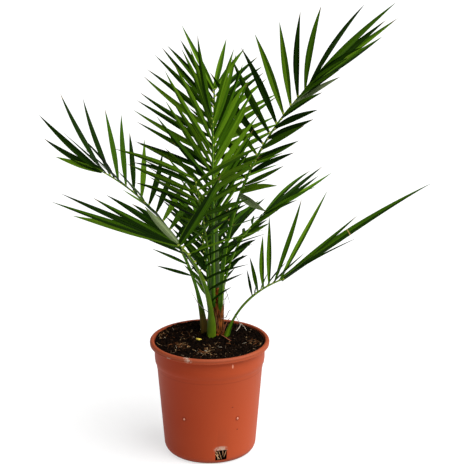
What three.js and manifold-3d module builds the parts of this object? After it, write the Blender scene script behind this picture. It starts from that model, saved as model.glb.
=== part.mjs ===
// A young Canary Island date palm in the round plastic pot it was grown in, about three quarters
// of a metre tall. Millimetres, +Z up, front towards -Y. The origin is the middle of the pot's
// flat underside.
import * as THREE from 'three';
import * as BufferGeometryUtils from 'three/addons/utils/BufferGeometryUtils.js';
import Module from 'manifold-3d';

// Pot: a tapered bucket with a rolled lip, a collar under the lip and three drain holes.
const POT_HEIGHT = 186;
const LIP_RADIUS = 95;
const LIP_HEIGHT = 8;
const MOUTH_RADIUS = 88.5;
const COLLAR_RADIUS = 88;
const COLLAR_FOOT = 148;
const BODY_RADIUS = 84.5;
const HEEL_RADIUS = 74;
const FOOT_RADIUS = 62.5;
const WALL = 2.2;
const HEEL_STEP = 3;
const POT_SIDES = 36;
const HOLE_COUNT = 3;
const HOLE_WIDTH = 18;
const HOLE_TOP = 26;
const HOLE_FOOT = 8.5;
const HOLE_DEPTH = 30;
const FIRST_HOLE_DEGREES = -76;

// Compost: nearly level, drawn up a little round the stems.
const SOIL_AT_STEMS = 182.5;
const SOIL_AT_WALL = 181;
const STEM_PATCH_RADIUS = 58;
const SOIL_INSET = 0.56;

// Trunk: a short fibrous stem, flared at the foot, that stands behind the middle of the pot.
const TRUNK_FOOT = { x: 12, y: 28 };
const TRUNK_LEAN = { x: 1.5, y: 1 };
const TRUNK_TOP = 262;
const TRUNK_RADIUS = 9.2;
const TRUNK_FLARE = 2.8;
const TRUNK_TAPER = 1.2;
const CROWN_SHARE = 0.85;
const CROWN_TAPER = 5.5;
const TRUNK_SIDES = 14;
const TRUNK_RINGS = 9;

// Clearances between neighbouring pieces.
const SEAT_GAP = 0.3;
const LEAF_GAP = 0.4;

// Fronds. A rib starts at `seat`: the angle round the trunk and the height of its foot. It sets out
// towards `heading` and turns by `swing`, and its slope goes from `rise[0]` to `rise[1]` degrees.
// `rib` is its length, `stem` its width at the foot and above the petiole. Leaflets stand in `pairs`
// from the fraction `bare` of the rib to its tip: `leaf` is their length at the first, middle and
// last pair, `open` their angle to the rib there, `lift` how far they stand above the frond's plane,
// `skew` how much wider the right side opens, `sides` the length of left and right, `roll` the turn
// of the plane about the rib, `twist` the turn of a left and a right blade, `droop` its sag in percent.
// A fan is the end blade that has not split: `count` leaflets round `turn` over `spread` degrees,
// in a plane turned by `tilt`, each blade turned by `face`, from the first to the last length in `leaf`.
// One that stands lower is at the fraction `at` of the rib.
const FRONDS = [
  {
    name: 'frond_high_right', seed: 11, seat: { around: -70, height: 236 }, heading: 41, swing: -44,
    rise: [89, 45.5], rib: 388, stem: [8.5, 6.5], bare: 0.48, pairs: 11, leaf: [143, 149, 157],
    width: 12.5, open: [62, 52, 24], skew: -11, sides: [1, 0.7], lift: 21, roll: -35, twist: [-5, 15],
    droop: 7,
    fans: [
      { count: 4, turn: -8, spread: 30, tilt: 60, face: -50, leaf: [172, 193], width: 11.5, step: 0.14 },
      { count: 1, turn: 37, spread: 0, tilt: 60, face: -50, leaf: [200, 200], width: 9, step: 0 },
      { at: 0.485, count: 1, turn: 61, spread: 0, tilt: 20, face: 0, leaf: [85, 85], width: 11, step: 0 },
      { at: 0.475, count: 1, turn: 89, spread: 0, tilt: 22, face: 0, leaf: [74, 74], width: 13, step: 0 },
    ],
  },
  {
    name: 'frond_low_left', seed: 13, seat: { around: 174, height: SOIL_AT_STEMS }, heading: 114, swing: 77,
    rise: [75.5, 30.5], rib: 328, stem: [14, 6.5], bare: 0.29, pairs: 14, leaf: [106, 108, 165],
    width: 10.5, open: [75, 65, 48], skew: 2.5, sides: [1, 1], lift: 24, roll: 5, twist: [0, -8],
    droop: -2,
    fans: [{ count: 3, turn: 1, spread: 25, tilt: 90, face: 0, leaf: [78, 135], width: 11, step: 0 }],
  },
  {
    name: 'frond_low_right', seed: 15, seat: { around: -30, height: SOIL_AT_STEMS }, heading: -15, swing: 26,
    rise: [77, 16], rib: 138, stem: [15, 6], bare: 0.59, pairs: 6, leaf: [52, 118, 212],
    width: 10, open: [68, 57, 30], skew: -6, sides: [1, 0.7], lift: 42, roll: 0, twist: [-15, 40],
    droop: 1,
    fans: [
      { count: 1, turn: 23.5, spread: 0, tilt: 90, face: 0, leaf: [160, 160], width: 8.5, step: 0 },
      { count: 1, turn: 15.5, spread: 0, tilt: 90, face: 0, leaf: [286, 286], width: 13, step: 0 },
    ],
  },
  {
    name: 'frond_low_front', seed: 14, seat: { around: 234, height: SOIL_AT_STEMS }, heading: 206.5,
    swing: 10, rise: [96.5, 44.5], rib: 182, stem: [20, 9], bare: 0.315, pairs: 7, leaf: [56, 129, 185],
    width: 10, open: [47, 71, 83], skew: -6, sides: [1, 0.64], lift: 19, roll: -20, twist: [40, 25],
    droop: 6,
    fans: [
      { count: 6, turn: 10, spread: 37, tilt: -14, face: 30, leaf: [100, 214], width: 11.5, step: -0.1 },
      { count: 1, turn: 34, spread: 0, tilt: -14, face: 30, leaf: [174, 174], width: 16, step: 0 },
      { count: 1, turn: -62, spread: 0, tilt: -30, face: 0, leaf: [147, 147], width: 17, step: 0 },
      { count: 1, turn: -56, spread: 0, tilt: -22, face: 0, leaf: [182, 182], width: 13, step: 0 },
    ],
  },
  {
    name: 'frond_back_right', seed: 16, seat: { around: 62, height: 222 }, heading: 58, swing: -17,
    rise: [84.5, 20], rib: 183, stem: [6.5, 5], bare: 0.33, pairs: 6, leaf: [46, 64, 102],
    width: 8.5, open: [70, 55, 36], skew: -6.5, sides: [1, 1], lift: -5, roll: 25, twist: [0, 20],
    droop: 5,
    fans: [
      { count: 4, turn: -4.5, spread: 10, tilt: -60, face: 0, leaf: [162, 166], width: 8.5, step: 0.14 },
    ],
  },
  {
    name: 'frond_upright_back', seed: 12, seat: { around: 112, height: 236 }, heading: 92.5, swing: -2.5,
    rise: [78, 63.5], rib: 347, stem: [8, 6], bare: 0.46, pairs: 14, leaf: [120, 150, 106],
    width: 10, open: [66, 60, 34.5], skew: 2, sides: [1, 0.88], lift: -7, roll: -10, twist: [-25, 25],
    droop: 0,
    fans: [{ count: 2, turn: -7, spread: 40, tilt: 0, face: 0, leaf: [119, 90], width: 9.5, step: 0 }],
  },
  {
    name: 'frond_upright_front', seed: 17, seat: { around: 232, height: 240 }, heading: 276, swing: 0,
    rise: [87, 91], rib: 300, stem: [8, 6], bare: 0.38, pairs: 14, leaf: [100, 145, 137],
    width: 9.5, open: [45, 40, 13], skew: 2, sides: [0.88, 1], lift: 36, roll: 10, twist: [-25, 25],
    droop: 5, fans: [],
  },
  {
    name: 'frond_middle_left', seed: 18, seat: { around: 185, height: 226 }, heading: 196, swing: 35,
    rise: [91.5, 72], rib: 224, stem: [8, 6], bare: 0.5, pairs: 8, leaf: [100, 140, 165],
    width: 9.5, open: [80, 72, 70], skew: 10.5, sides: [1, 1], lift: 5, roll: 0, twist: [-25, 25],
    droop: 4, fans: [],
  },
  {
    name: 'frond_back_left', seed: 19, seat: { around: 150, height: 208 }, heading: 100, swing: 0,
    rise: [78, 10], rib: 195, stem: [6.5, 5], bare: 0.3, pairs: 9, leaf: [50, 105, 115],
    width: 10, open: [45, 33, 22], skew: 0, sides: [1, 1], lift: 15, roll: 0, twist: [-25, 25],
    droop: 5,
    fans: [{ count: 3, turn: 0, spread: 24, tilt: 0, face: 0, leaf: [125, 125], width: 11, step: 0.14 }],
  },
  {
    name: 'frond_back_middle', seed: 20, seat: { around: 84, height: 204 }, heading: 84, swing: -3,
    rise: [72, 6], rib: 200, stem: [6.5, 5], bare: 0.3, pairs: 9, leaf: [50, 100, 110],
    width: 10, open: [45, 33, 22], skew: 0, sides: [1, 1], lift: 15, roll: 0, twist: [-25, 25],
    droop: 5,
    fans: [{ count: 3, turn: 0, spread: 24, tilt: 0, face: 0, leaf: [125, 125], width: 11, step: 0.14 }],
  },
  {
    name: 'frond_back_low', seed: 21, seat: { around: 104, height: SOIL_AT_STEMS }, heading: 94, swing: -4,
    rise: [70, -5], rib: 170, stem: [10, 5], bare: 0.35, pairs: 7, leaf: [45, 80, 100],
    width: 10, open: [45, 33, 22], skew: 0, sides: [1, 1], lift: 15, roll: 0, twist: [-25, 25],
    droop: 5,
    fans: [{ count: 3, turn: 0, spread: 24, tilt: 0, face: 0, leaf: [125, 125], width: 11, step: 0.14 }],
  },
];
const RIB_STEPS = 24;
const RIB_RINGS = 12;
const PETIOLE_SHARE = 0.22;
const RIB_TIP_WIDTH = 2.4;
const RIB_DEPTH_SHARE = 0.62;
const SEAT_PASSES = 8;
const LOOSE_DEGREES = 8;
const LOOSE_LIFT = 12;
const LOOSE_LENGTH = 0.14;
const LEAF_STATIONS = [0, 0.22, 0.7, 1];
const LEAF_FULNESS = [0, 0.95, 0.78, 0];
const LEAF_THICKNESS_SHARE = 0.0125;
const THINNEST_LEAF = 1.3;
const FAN_ROOT = 4;
const LAST_PAIR = 0.985;
const NEAREST_WIDTH_SHARE = 0.6;

// The folded new leaf that stands in the middle of the crown.
const SPEAR = { length: 285, width: 7, depth: 4.5, lean: { x: -7, y: 0 }, tip: 0.15 };

// A leaflet that would touch another frond is tried again with these changes: degrees added to
// its opening and lift, and its share of the full length.
const TRIES = [
  [0, 0, 1], [5, 0, 1], [-5, 0, 1], [0, 8, 1], [0, -8, 1], [8, 8, 1], [-8, 8, 1], [8, -8, 1],
  [-8, -8, 1], [0, 16, 1], [0, -16, 1], [0, 0, 0.8], [6, 8, 0.8], [-6, -8, 0.8], [0, 16, 0.8],
  [0, 0, 0.6], [0, 14, 0.6], [0, -14, 0.6], [0, 0, 0.42],
];

const wasm = await Module();
wasm.setup();

const radians = THREE.MathUtils.degToRad;
const lerp = THREE.MathUtils.lerp;
const clamp = THREE.MathUtils.clamp;

// A closed three.js geometry as a solid, and back again.
function asSolid(geometry) {
  const bare = geometry.clone();
  bare.deleteAttribute('normal');
  bare.deleteAttribute('uv');
  const merged = BufferGeometryUtils.mergeVertices(bare, 1e-4);
  const vertProperties = new Float32Array(merged.attributes.position.array);
  const triVerts = new Uint32Array(merged.index.array);
  return new wasm.Manifold(new wasm.Mesh({ numProp: 3, vertProperties, triVerts }));
}

function asGeometry(solid) {
  const mesh = solid.getMesh();
  const geometry = new THREE.BufferGeometry();
  geometry.setAttribute('position', new THREE.BufferAttribute(new Float32Array(mesh.vertProperties), 3));
  geometry.setIndex(new THREE.BufferAttribute(new Uint32Array(mesh.triVerts), 1));
  geometry.computeVertexNormals();
  return geometry;
}

function named(name, geometry, color, roughness) {
  const material = new THREE.MeshStandardMaterial({ color, roughness, metalness: 0 });
  const mesh = new THREE.Mesh(geometry, material);
  mesh.name = name;
  return mesh;
}

// Rewrites every vertex of a geometry with place(vertex), which changes the vertex it is given.
function reshape(geometry, place) {
  const position = geometry.attributes.position;
  const vertex = new THREE.Vector3();
  for (let i = 0; i < position.count; i += 1) {
    place(vertex.fromBufferAttribute(position, i));
    position.setXYZ(i, vertex.x, vertex.y, vertex.z);
  }
  return geometry;
}

// Repeatable random numbers from 0 to 1.
function seededDraw(seed) {
  let state = seed >>> 0;
  return () => {
    state = (state + 0x6D2B79F5) >>> 0;
    let t = state;
    t = Math.imul(t ^ (t >>> 15), t | 1);
    t ^= t + Math.imul(t ^ (t >>> 7), t | 61);
    return ((t ^ (t >>> 14)) >>> 0) / 4294967296;
  };
}

// Pot and compost share the inner wall's profile, as radius and height from the floor to the mouth.
function innerProfile() {
  const heel = HEEL_RADIUS - WALL;
  return [
    [0, WALL],
    [FOOT_RADIUS, WALL],
    [heel - HEEL_STEP, 3 * WALL],
    [heel, 8 * WALL],
    [BODY_RADIUS - WALL, COLLAR_FOOT],
    [COLLAR_RADIUS - 1.3 * WALL, COLLAR_FOOT + 3 * WALL],
    [MOUTH_RADIUS - WALL, POT_HEIGHT - 3 * WALL],
  ];
}

function revolve(profile) {
  const points = profile.map(([radius, height]) => new THREE.Vector2(radius, height));
  return new THREE.LatheGeometry(points, POT_SIDES).rotateX(Math.PI / 2);
}

function buildPot() {
  const lipFoot = POT_HEIGHT - LIP_HEIGHT;
  const outer = [
    [0, 0],
    [FOOT_RADIUS, 0],
    [HEEL_RADIUS - HEEL_STEP, 2.2 * WALL],
    [HEEL_RADIUS, 7 * WALL],
    [BODY_RADIUS, COLLAR_FOOT],
    [COLLAR_RADIUS - 0.7 * WALL, COLLAR_FOOT + WALL],
    [COLLAR_RADIUS, lipFoot],
    [LIP_RADIUS - WALL, lipFoot + 0.5 * WALL],
    [LIP_RADIUS, lipFoot + LIP_HEIGHT / 2],
    [LIP_RADIUS - 0.7 * WALL, POT_HEIGHT - 0.7 * WALL],
    [LIP_RADIUS - 1.8 * WALL, POT_HEIGHT],
    [MOUTH_RADIUS, POT_HEIGHT - 0.5 * WALL],
  ];
  let shell = asSolid(revolve([...outer, ...innerProfile().reverse()]));
  for (let i = 0; i < HOLE_COUNT; i += 1) {
    const angle = radians(FIRST_HOLE_DEGREES + i * 360 / HOLE_COUNT);
    const cutter = new THREE.BoxGeometry(HOLE_DEPTH, HOLE_WIDTH, HOLE_TOP - HOLE_FOOT);
    cutter.translate(HEEL_RADIUS, 0, (HOLE_TOP + HOLE_FOOT) / 2);
    cutter.rotateZ(angle);
    shell = shell.subtract(asSolid(cutter));
  }
  return named('pot', asGeometry(shell), 0xb5502c, 0.5);
}

// Radius of the inner wall at a height, from the shared profile.
function innerRadiusAt(height) {
  const profile = innerProfile();
  for (let i = 1; i < profile.length; i += 1) {
    const [r0, h0] = profile[i - 1];
    const [r1, h1] = profile[i];
    if (height <= h1 && h1 > h0) {
      return lerp(r0, r1, (height - h0) / (h1 - h0));
    }
  }
  return profile.at(-1)[0];
}

function buildSoil() {
  const below = innerProfile().filter(([, height]) => height < SOIL_AT_WALL);
  const sides = below.map(([radius, height]) => {
    const inset = Math.max(0, radius - SOIL_INSET);
    return [inset, Math.max(height, WALL + SOIL_INSET)];
  });
  const profile = [
    ...sides,
    [innerRadiusAt(SOIL_AT_WALL) - SOIL_INSET, SOIL_AT_WALL],
    [STEM_PATCH_RADIUS, SOIL_AT_STEMS],
    [0, SOIL_AT_STEMS],
  ];
  return named('soil', revolve(profile), 0x2a1c13, 0.95);
}

function trunkAxis(height) {
  const share = (height - SOIL_AT_STEMS) / (TRUNK_TOP - SOIL_AT_STEMS);
  return {
    x: TRUNK_FOOT.x + TRUNK_LEAN.x * share,
    y: TRUNK_FOOT.y + TRUNK_LEAN.y * share,
  };
}

function trunkRadius(height) {
  const share = clamp((height - SOIL_AT_STEMS) / (TRUNK_TOP - SOIL_AT_STEMS), 0, 1);
  const flare = TRUNK_FLARE * (1 - share) ** 6;
  const crown = CROWN_TAPER * (Math.max(0, share - CROWN_SHARE) / (1 - CROWN_SHARE)) ** 2;
  return TRUNK_RADIUS + flare - TRUNK_TAPER * share - crown;
}

function buildTrunk() {
  const foot = SOIL_AT_STEMS + SEAT_GAP;
  const shaft = new THREE.CylinderGeometry(1, 1, 1, TRUNK_SIDES, TRUNK_RINGS);
  const solid = reshape(shaft, (vertex) => {
    const level = vertex.y + 0.5;
    const height = lerp(foot, TRUNK_TOP, level);
    const axis = trunkAxis(height);
    const radius = trunkRadius(height);
    vertex.set(axis.x + vertex.z * radius, axis.y + vertex.x * radius, height);
  });
  return named('trunk', solid, 0x6b3a1e, 0.9);
}

function ribWidth(frond, share) {
  if (share < PETIOLE_SHARE) {
    return lerp(frond.stem[0], frond.stem[1], share / PETIOLE_SHARE);
  }
  return lerp(frond.stem[1], RIB_TIP_WIDTH, (share - PETIOLE_SHARE) / (1 - PETIOLE_SHARE));
}

// How far out from the trunk's axis a rib's four-sided foot stands, to lie just clear of the bark.
function seatReach(frond, radius) {
  const turn = radians(frond.seat.around - frond.heading + frond.roll);
  const halfWidth = frond.stem[0] / 2;
  const halfDepth = halfWidth * RIB_DEPTH_SHARE;
  let reach = radius + SEAT_GAP + halfWidth;
  for (let i = 0; i < SEAT_PASSES; i += 1) {
    const pastWidth = Math.max(0, reach * Math.abs(Math.sin(turn)) - halfWidth);
    const pastDepth = Math.max(0, reach * Math.abs(Math.cos(turn)) - halfDepth);
    reach -= Math.hypot(pastWidth, pastDepth) - radius - SEAT_GAP;
  }
  return reach;
}

function seatOf(frond) {
  const around = radians(frond.seat.around);
  const height = frond.seat.height + SEAT_GAP;
  const axis = trunkAxis(height);
  const reach = seatReach(frond, trunkRadius(height));
  return new THREE.Vector3(axis.x + reach * Math.cos(around), axis.y + reach * Math.sin(around), height);
}

function slopeAt(frond, share) {
  const heading = radians(frond.heading + frond.swing * share);
  const rise = radians(lerp(frond.rise[0], frond.rise[1], share));
  const level = Math.cos(rise);
  return new THREE.Vector3(Math.cos(heading) * level, Math.sin(heading) * level, Math.sin(rise));
}

// The rib as a chain of equal steps, each with the slope at its middle.
function ribCurve(frond) {
  const points = [seatOf(frond)];
  const slopes = [];
  for (let i = 0; i < RIB_STEPS; i += 1) {
    const slope = slopeAt(frond, (i + 0.5) / RIB_STEPS);
    slopes.push(slope);
    points.push(points[i].clone().addScaledVector(slope, frond.rib / RIB_STEPS));
  }
  return { points, slopes };
}

// Point on the rib at a share of its length, with its frame: along, to the right, and up.
function stationOn(frond, curve, share) {
  const place = clamp(share, 0, 1) * RIB_STEPS;
  const step = Math.min(Math.floor(place), RIB_STEPS - 1);
  const point = curve.points[step].clone().lerp(curve.points[step + 1], place - step);
  const along = slopeAt(frond, share);
  const heading = radians(frond.heading + frond.swing * share);
  const level = new THREE.Vector3(Math.sin(heading), -Math.cos(heading), 0);
  const up = level.clone().cross(along).normalize();
  const right = along.clone().cross(up);
  const roll = radians(frond.roll);
  const turnedRight = right.clone().multiplyScalar(Math.cos(roll)).addScaledVector(up, Math.sin(roll));
  const turnedUp = up.clone().multiplyScalar(Math.cos(roll)).addScaledVector(right, -Math.sin(roll));
  return { point, along, right: turnedRight, up: turnedUp };
}

function threeWay([first, middle, last], share) {
  return first * (1 - share) * (1 - 2 * share) + middle * 4 * share * (1 - share)
    + last * share * (2 * share - 1);
}

// Every leaflet of a frond as its root, side, angles and sizes, in the order it is grown.
function leafletsOf(frond, curve) {
  const draw = seededDraw(frond.seed);
  const leaflets = [];
  for (let i = 0; i < frond.pairs; i += 1) {
    for (const side of [-1, 1]) {
      const share = (i + (side > 0 ? 0.5 : 0)) / (frond.pairs - 0.5);
      const place = lerp(frond.bare, LAST_PAIR, share * (1.15 - 0.15 * share));
      const open = threeWay(frond.open, share) + side * frond.skew
        + (draw() - 0.5) * LOOSE_DEGREES;
      const lift = frond.lift + (draw() - 0.5) * LOOSE_LIFT;
      const length = threeWay(frond.leaf, share) * (1 + (draw() - 0.5) * LOOSE_LENGTH)
        * frond.sides[side < 0 ? 0 : 1];
      const width = frond.width * lerp(NEAREST_WIDTH_SHARE, 1, Math.min(1, share * 3));
      const twist = frond.twist[side < 0 ? 0 : 1];
      leaflets.push({ station: stationOn(frond, curve, place), side, open, lift, length, width, twist });
    }
  }
  for (const fan of frond.fans) {
    const station = stationOn(frond, curve, fan.at ?? 1);
    station.point.addScaledVector(station.along, -FAN_ROOT);
    for (let j = 0; j < fan.count; j += 1) {
      const share = fan.count > 1 ? j / (fan.count - 1) : 0.5;
      const angle = fan.turn + fan.spread * (share - 0.5);
      const side = angle < 0 ? -1 : 1;
      const length = lerp(fan.leaf[0], fan.leaf[1], share) * (j % 2 === 0 ? 1 - fan.step : 1);
      const lift = fan.tilt * side;
      const { width, face: twist } = fan;
      leaflets.push({ station, side, open: Math.abs(angle), lift, length, width, twist });
    }
  }
  return leaflets;
}

// A leaflet's own frame: along it, across its blade, and through its blade.
function bladeFrame(leaflet) {
  const { station, side } = leaflet;
  const open = radians(leaflet.open);
  const lift = radians(leaflet.lift);
  const outward = station.right.clone().multiplyScalar(side * Math.cos(lift))
    .addScaledVector(station.up, Math.sin(lift));
  const along = station.along.clone().multiplyScalar(Math.cos(open))
    .addScaledVector(outward, Math.sin(open)).normalize();
  const across = outward.clone().multiplyScalar(-Math.cos(open))
    .addScaledVector(station.along, Math.sin(open)).normalize();
  const through = along.clone().cross(across);
  const twist = radians(leaflet.twist);
  const turned = across.clone().multiplyScalar(Math.cos(twist))
    .addScaledVector(through, Math.sin(twist));
  return { along, across: turned, through: along.clone().cross(turned) };
}

function bladePoint(frond, leaflet, frame, share) {
  const sag = frond.droop * leaflet.length / 100 * share * share;
  const point = leaflet.station.point.clone().addScaledVector(frame.along, leaflet.length * share);
  point.z -= sag;
  return point;
}

function leafThickness(leaflet) {
  return Math.max(THINNEST_LEAF, leaflet.length * LEAF_THICKNESS_SHARE);
}

// Boxes that hold a leaflet or a rib, for the test that keeps fronds apart.
function makeBox(start, end, across, through, halfWidth, halfDepth) {
  const centre = start.clone().lerp(end, 0.5);
  const along = end.clone().sub(start);
  const halfLength = along.length() / 2;
  along.normalize();
  const axes = [along, across, through];
  const halves = [halfLength, halfWidth, halfDepth];
  return { centre, axes, halves, radius: Math.hypot(...halves) };
}

function leafletBoxes(frond, leaflet) {
  const frame = bladeFrame(leaflet);
  const boxes = [];
  for (let i = 0; i < 3; i += 1) {
    const start = bladePoint(frond, leaflet, frame, LEAF_STATIONS[i]);
    const end = bladePoint(frond, leaflet, frame, LEAF_STATIONS[i + 1]);
    const fulness = Math.max(LEAF_FULNESS[i], LEAF_FULNESS[i + 1]);
    const halfWidth = leaflet.width / 2 * fulness + LEAF_GAP;
    boxes.push(makeBox(start, end, frame.across, frame.through, halfWidth,
      leafThickness(leaflet) / 2 + LEAF_GAP));
  }
  return boxes;
}

function ribBoxes(frond, curve) {
  const boxes = [];
  for (let i = 0; i < RIB_RINGS; i += 1) {
    const start = stationOn(frond, curve, i / RIB_RINGS);
    const end = stationOn(frond, curve, (i + 1) / RIB_RINGS);
    const width = ribWidth(frond, i / RIB_RINGS);
    boxes.push(makeBox(start.point, end.point, start.right, start.up, width / 2 + LEAF_GAP,
      width * RIB_DEPTH_SHARE / 2 + LEAF_GAP));
  }
  return boxes;
}

// The trunk and the folded leaf above it, as upright boxes that leaflets keep clear of.
function middleBoxes() {
  const east = new THREE.Vector3(1, 0, 0);
  const north = new THREE.Vector3(0, 1, 0);
  const foot = new THREE.Vector3(TRUNK_FOOT.x, TRUNK_FOOT.y, SOIL_AT_STEMS);
  const top = new THREE.Vector3(TRUNK_FOOT.x + TRUNK_LEAN.x, TRUNK_FOOT.y + TRUNK_LEAN.y, TRUNK_TOP);
  const tip = new THREE.Vector3(top.x + SPEAR.lean.x, top.y + SPEAR.lean.y, TRUNK_TOP + SPEAR.length);
  return [
    makeBox(foot, top, east, north, TRUNK_RADIUS + 1, TRUNK_RADIUS + 1),
    makeBox(top, tip, east, north, SPEAR.width / 2 + LEAF_GAP, SPEAR.depth / 2 + LEAF_GAP),
  ];
}

// Separating-axis test between two boxes.
function boxesMeet(a, b) {
  const offset = b.centre.clone().sub(a.centre);
  if (offset.length() > a.radius + b.radius) {
    return false;
  }
  const directions = [...a.axes, ...b.axes];
  for (const first of a.axes) {
    for (const second of b.axes) {
      const cross = first.clone().cross(second);
      if (cross.lengthSq() > 1e-6) {
        directions.push(cross.normalize());
      }
    }
  }
  return directions.every((direction) => {
    const reachA = a.axes.reduce((sum, axis, i) => sum + Math.abs(axis.dot(direction)) * a.halves[i], 0);
    const reachB = b.axes.reduce((sum, axis, i) => sum + Math.abs(axis.dot(direction)) * b.halves[i], 0);
    return Math.abs(offset.dot(direction)) <= reachA + reachB;
  });
}

// Grows the leaflets of all fronds one after another. A leaflet that would touch a rib, the trunk
// or a leaflet of another frond is opened, lifted or shortened, and left out if nothing helps.
function growCrown() {
  const curves = FRONDS.map((frond) => ribCurve(frond));
  const ribs = FRONDS.map((frond, i) => ribBoxes(frond, curves[i]));
  const middle = middleBoxes();
  const grown = FRONDS.map(() => []);
  return FRONDS.map((frond, i) => {
    const others = [...middle, ...ribs.filter((_, k) => k !== i).flat(),
      ...grown.filter((_, k) => k !== i).flat()];
    const kept = [];
    for (const leaflet of leafletsOf(frond, curves[i])) {
      for (const [open, lift, size] of TRIES) {
        const tried = { ...leaflet, open: leaflet.open + open, lift: leaflet.lift + lift,
          length: leaflet.length * size };
        const boxes = leafletBoxes(frond, tried);
        if (!boxes.some((box) => others.some((other) => boxesMeet(box, other)))) {
          kept.push(tried);
          grown[i].push(...boxes);
          break;
        }
      }
    }
    return { frond, curve: curves[i], leaflets: kept };
  });
}

// The rib is a four-sided bar that tapers to the tip, cut level at its foot.
function ribSolid(frond, curve) {
  const bar = new THREE.CylinderGeometry(Math.SQRT2, Math.SQRT2, 1, 4, RIB_RINGS);
  bar.rotateY(Math.PI / 4);
  return asSolid(reshape(bar, (vertex) => {
    const share = vertex.y + 0.5;
    const station = stationOn(frond, curve, share);
    const width = ribWidth(frond, share);
    const across = vertex.x * width / 2;
    const through = vertex.z * width * RIB_DEPTH_SHARE / 2;
    vertex.copy(station.point).addScaledVector(station.right, across)
      .addScaledVector(station.up, through);
    if (share < 1e-6) {
      vertex.z = station.point.z;
    }
  }));
}

// A leaflet is a long kite with a ridge on both faces, pointed at root and tip.
function leafletSolid(frond, leaflet) {
  const frame = bladeFrame(leaflet);
  const thickness = leafThickness(leaflet);
  const kite = new THREE.SphereGeometry(1, 4, 3);
  return asSolid(reshape(kite, (vertex) => {
    const ring = Math.round((1 - Math.acos(clamp(vertex.y, -1, 1)) / Math.PI) * 3);
    const swell = LEAF_FULNESS[ring] / Math.sin(Math.PI / 3);
    const across = vertex.x * swell * leaflet.width / 2;
    const through = vertex.z * swell * thickness / 2;
    vertex.copy(bladePoint(frond, leaflet, frame, LEAF_STATIONS[ring]))
      .addScaledVector(frame.across, -across)
      .addScaledVector(frame.through, through);
  }));
}

// Fused solids can leave sealed pockets or scraps: only the outer body of the frond is kept.
function largestBody(solid) {
  const bodies = solid.decompose();
  return bodies.reduce((best, body) => (body.volume() > best.volume() ? body : best));
}

function buildFrond({ frond, curve, leaflets }) {
  let solid = ribSolid(frond, curve);
  for (const leaflet of leaflets) {
    solid = solid.add(leafletSolid(frond, leaflet));
  }
  return named(frond.name, asGeometry(largestBody(solid)), 0x2f6b1c, 0.45);
}

function buildSpear() {
  const foot = TRUNK_TOP + SEAT_GAP;
  const bar = new THREE.CylinderGeometry(SPEAR.tip, 1, 1, 4, 4);
  const solid = reshape(bar, (vertex) => {
    const level = vertex.y + 0.5;
    vertex.set(
      TRUNK_FOOT.x + TRUNK_LEAN.x + SPEAR.lean.x * level + vertex.x * SPEAR.width / 2,
      TRUNK_FOOT.y + TRUNK_LEAN.y + SPEAR.lean.y * level - vertex.z * SPEAR.depth / 2,
      foot + level * SPEAR.length,
    );
  });
  return named('spear', solid, 0x7a8f2a, 0.5);
}

const palm = new THREE.Group();
palm.add(buildPot(), buildSoil(), buildTrunk(), buildSpear());
for (const grown of growCrown()) {
  palm.add(buildFrond(grown));
}

export default palm;
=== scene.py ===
import math

import bmesh
import bpy
import numpy as np
from mathutils import Matrix, Vector, noise


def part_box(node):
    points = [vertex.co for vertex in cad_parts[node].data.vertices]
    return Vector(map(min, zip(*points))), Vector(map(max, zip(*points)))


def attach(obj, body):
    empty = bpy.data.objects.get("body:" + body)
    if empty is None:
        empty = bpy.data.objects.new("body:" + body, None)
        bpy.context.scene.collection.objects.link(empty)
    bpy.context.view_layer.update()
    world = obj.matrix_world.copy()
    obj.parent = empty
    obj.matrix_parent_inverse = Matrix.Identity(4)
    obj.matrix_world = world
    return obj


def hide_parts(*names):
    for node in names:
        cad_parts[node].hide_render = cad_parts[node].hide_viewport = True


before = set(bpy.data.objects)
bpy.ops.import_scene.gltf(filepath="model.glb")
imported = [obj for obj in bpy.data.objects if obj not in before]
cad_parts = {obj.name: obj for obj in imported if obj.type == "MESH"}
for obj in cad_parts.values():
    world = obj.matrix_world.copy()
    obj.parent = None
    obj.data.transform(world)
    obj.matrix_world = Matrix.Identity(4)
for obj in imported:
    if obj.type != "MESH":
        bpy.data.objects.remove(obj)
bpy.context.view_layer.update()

# Pot: one moulded shell of terracotta-coloured polypropylene, 19 cm across the lip. The lip is
# rolled over to stiffen the mouth, a collar steps in below it, and three drain holes pierce the
# foot of the wall.
LIP_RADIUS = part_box("pot")[1].x
POT_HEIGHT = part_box("pot")[1].z
POT_SEGMENTS = 100
WALL = 0.0022
UNDERSIDE_RECESS = 0.0012
RECESS_SLOPE = 0.002
FOOT_RIM = 0.006
FOOT_RADIUS = 0.0625
HEEL_RADIUS = 0.074
HEEL_HEIGHT = 0.0154
HEEL_STEPS = 7
BODY_RADIUS = 0.0845
BODY_RINGS = (0.075, 0.140)
LEDGE_HEIGHT = 0.1415
LEDGE = 0.0004
SOFT_EDGE = 0.0012
COLLAR_FOOT = 0.1475
COLLAR_RADIUS = 0.088
COLLAR_STEP = 0.0032
# The collar's round shoulder: how far inside the collar, and how many steps above its foot.
COLLAR_SHOULDER = ((0.0022, 0.5), (0.0012, 1), (0.0004, 3))
LIP_HEIGHT = 0.008
LIP_ROUND = 0.0034
LIP_UNDERCUT = 0.0024
LIP_WAIST = 0.0007
BEAD_ROUND = 0.0014
BEAD_SETBACK = 0.0002
MOUTH_RADIUS = LIP_RADIUS - 0.0065
MOUTH_ROUND = (0.0015, 0.0018)
HOLE_TURNS = [-76 + third * 120 for third in range(3)]
HOLE_FOOT = HEEL_HEIGHT / 2
HOLE_TOP = 0.026
HOLE_SEGMENTS = 4
RIM_ZONE = WALL / 2 + 0.004
RIM_SHARP_DEGREES = 40
RIM_BEVEL = 0.0005
PIP_TURNS = (-119.6, -56.2, 60.4, 123.8)
PIP_HEIGHT = 0.0775
PIP_RADIUS = 0.0017
POT_COLOUR = (0.320, 0.033, 0.0050, 1)
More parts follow.
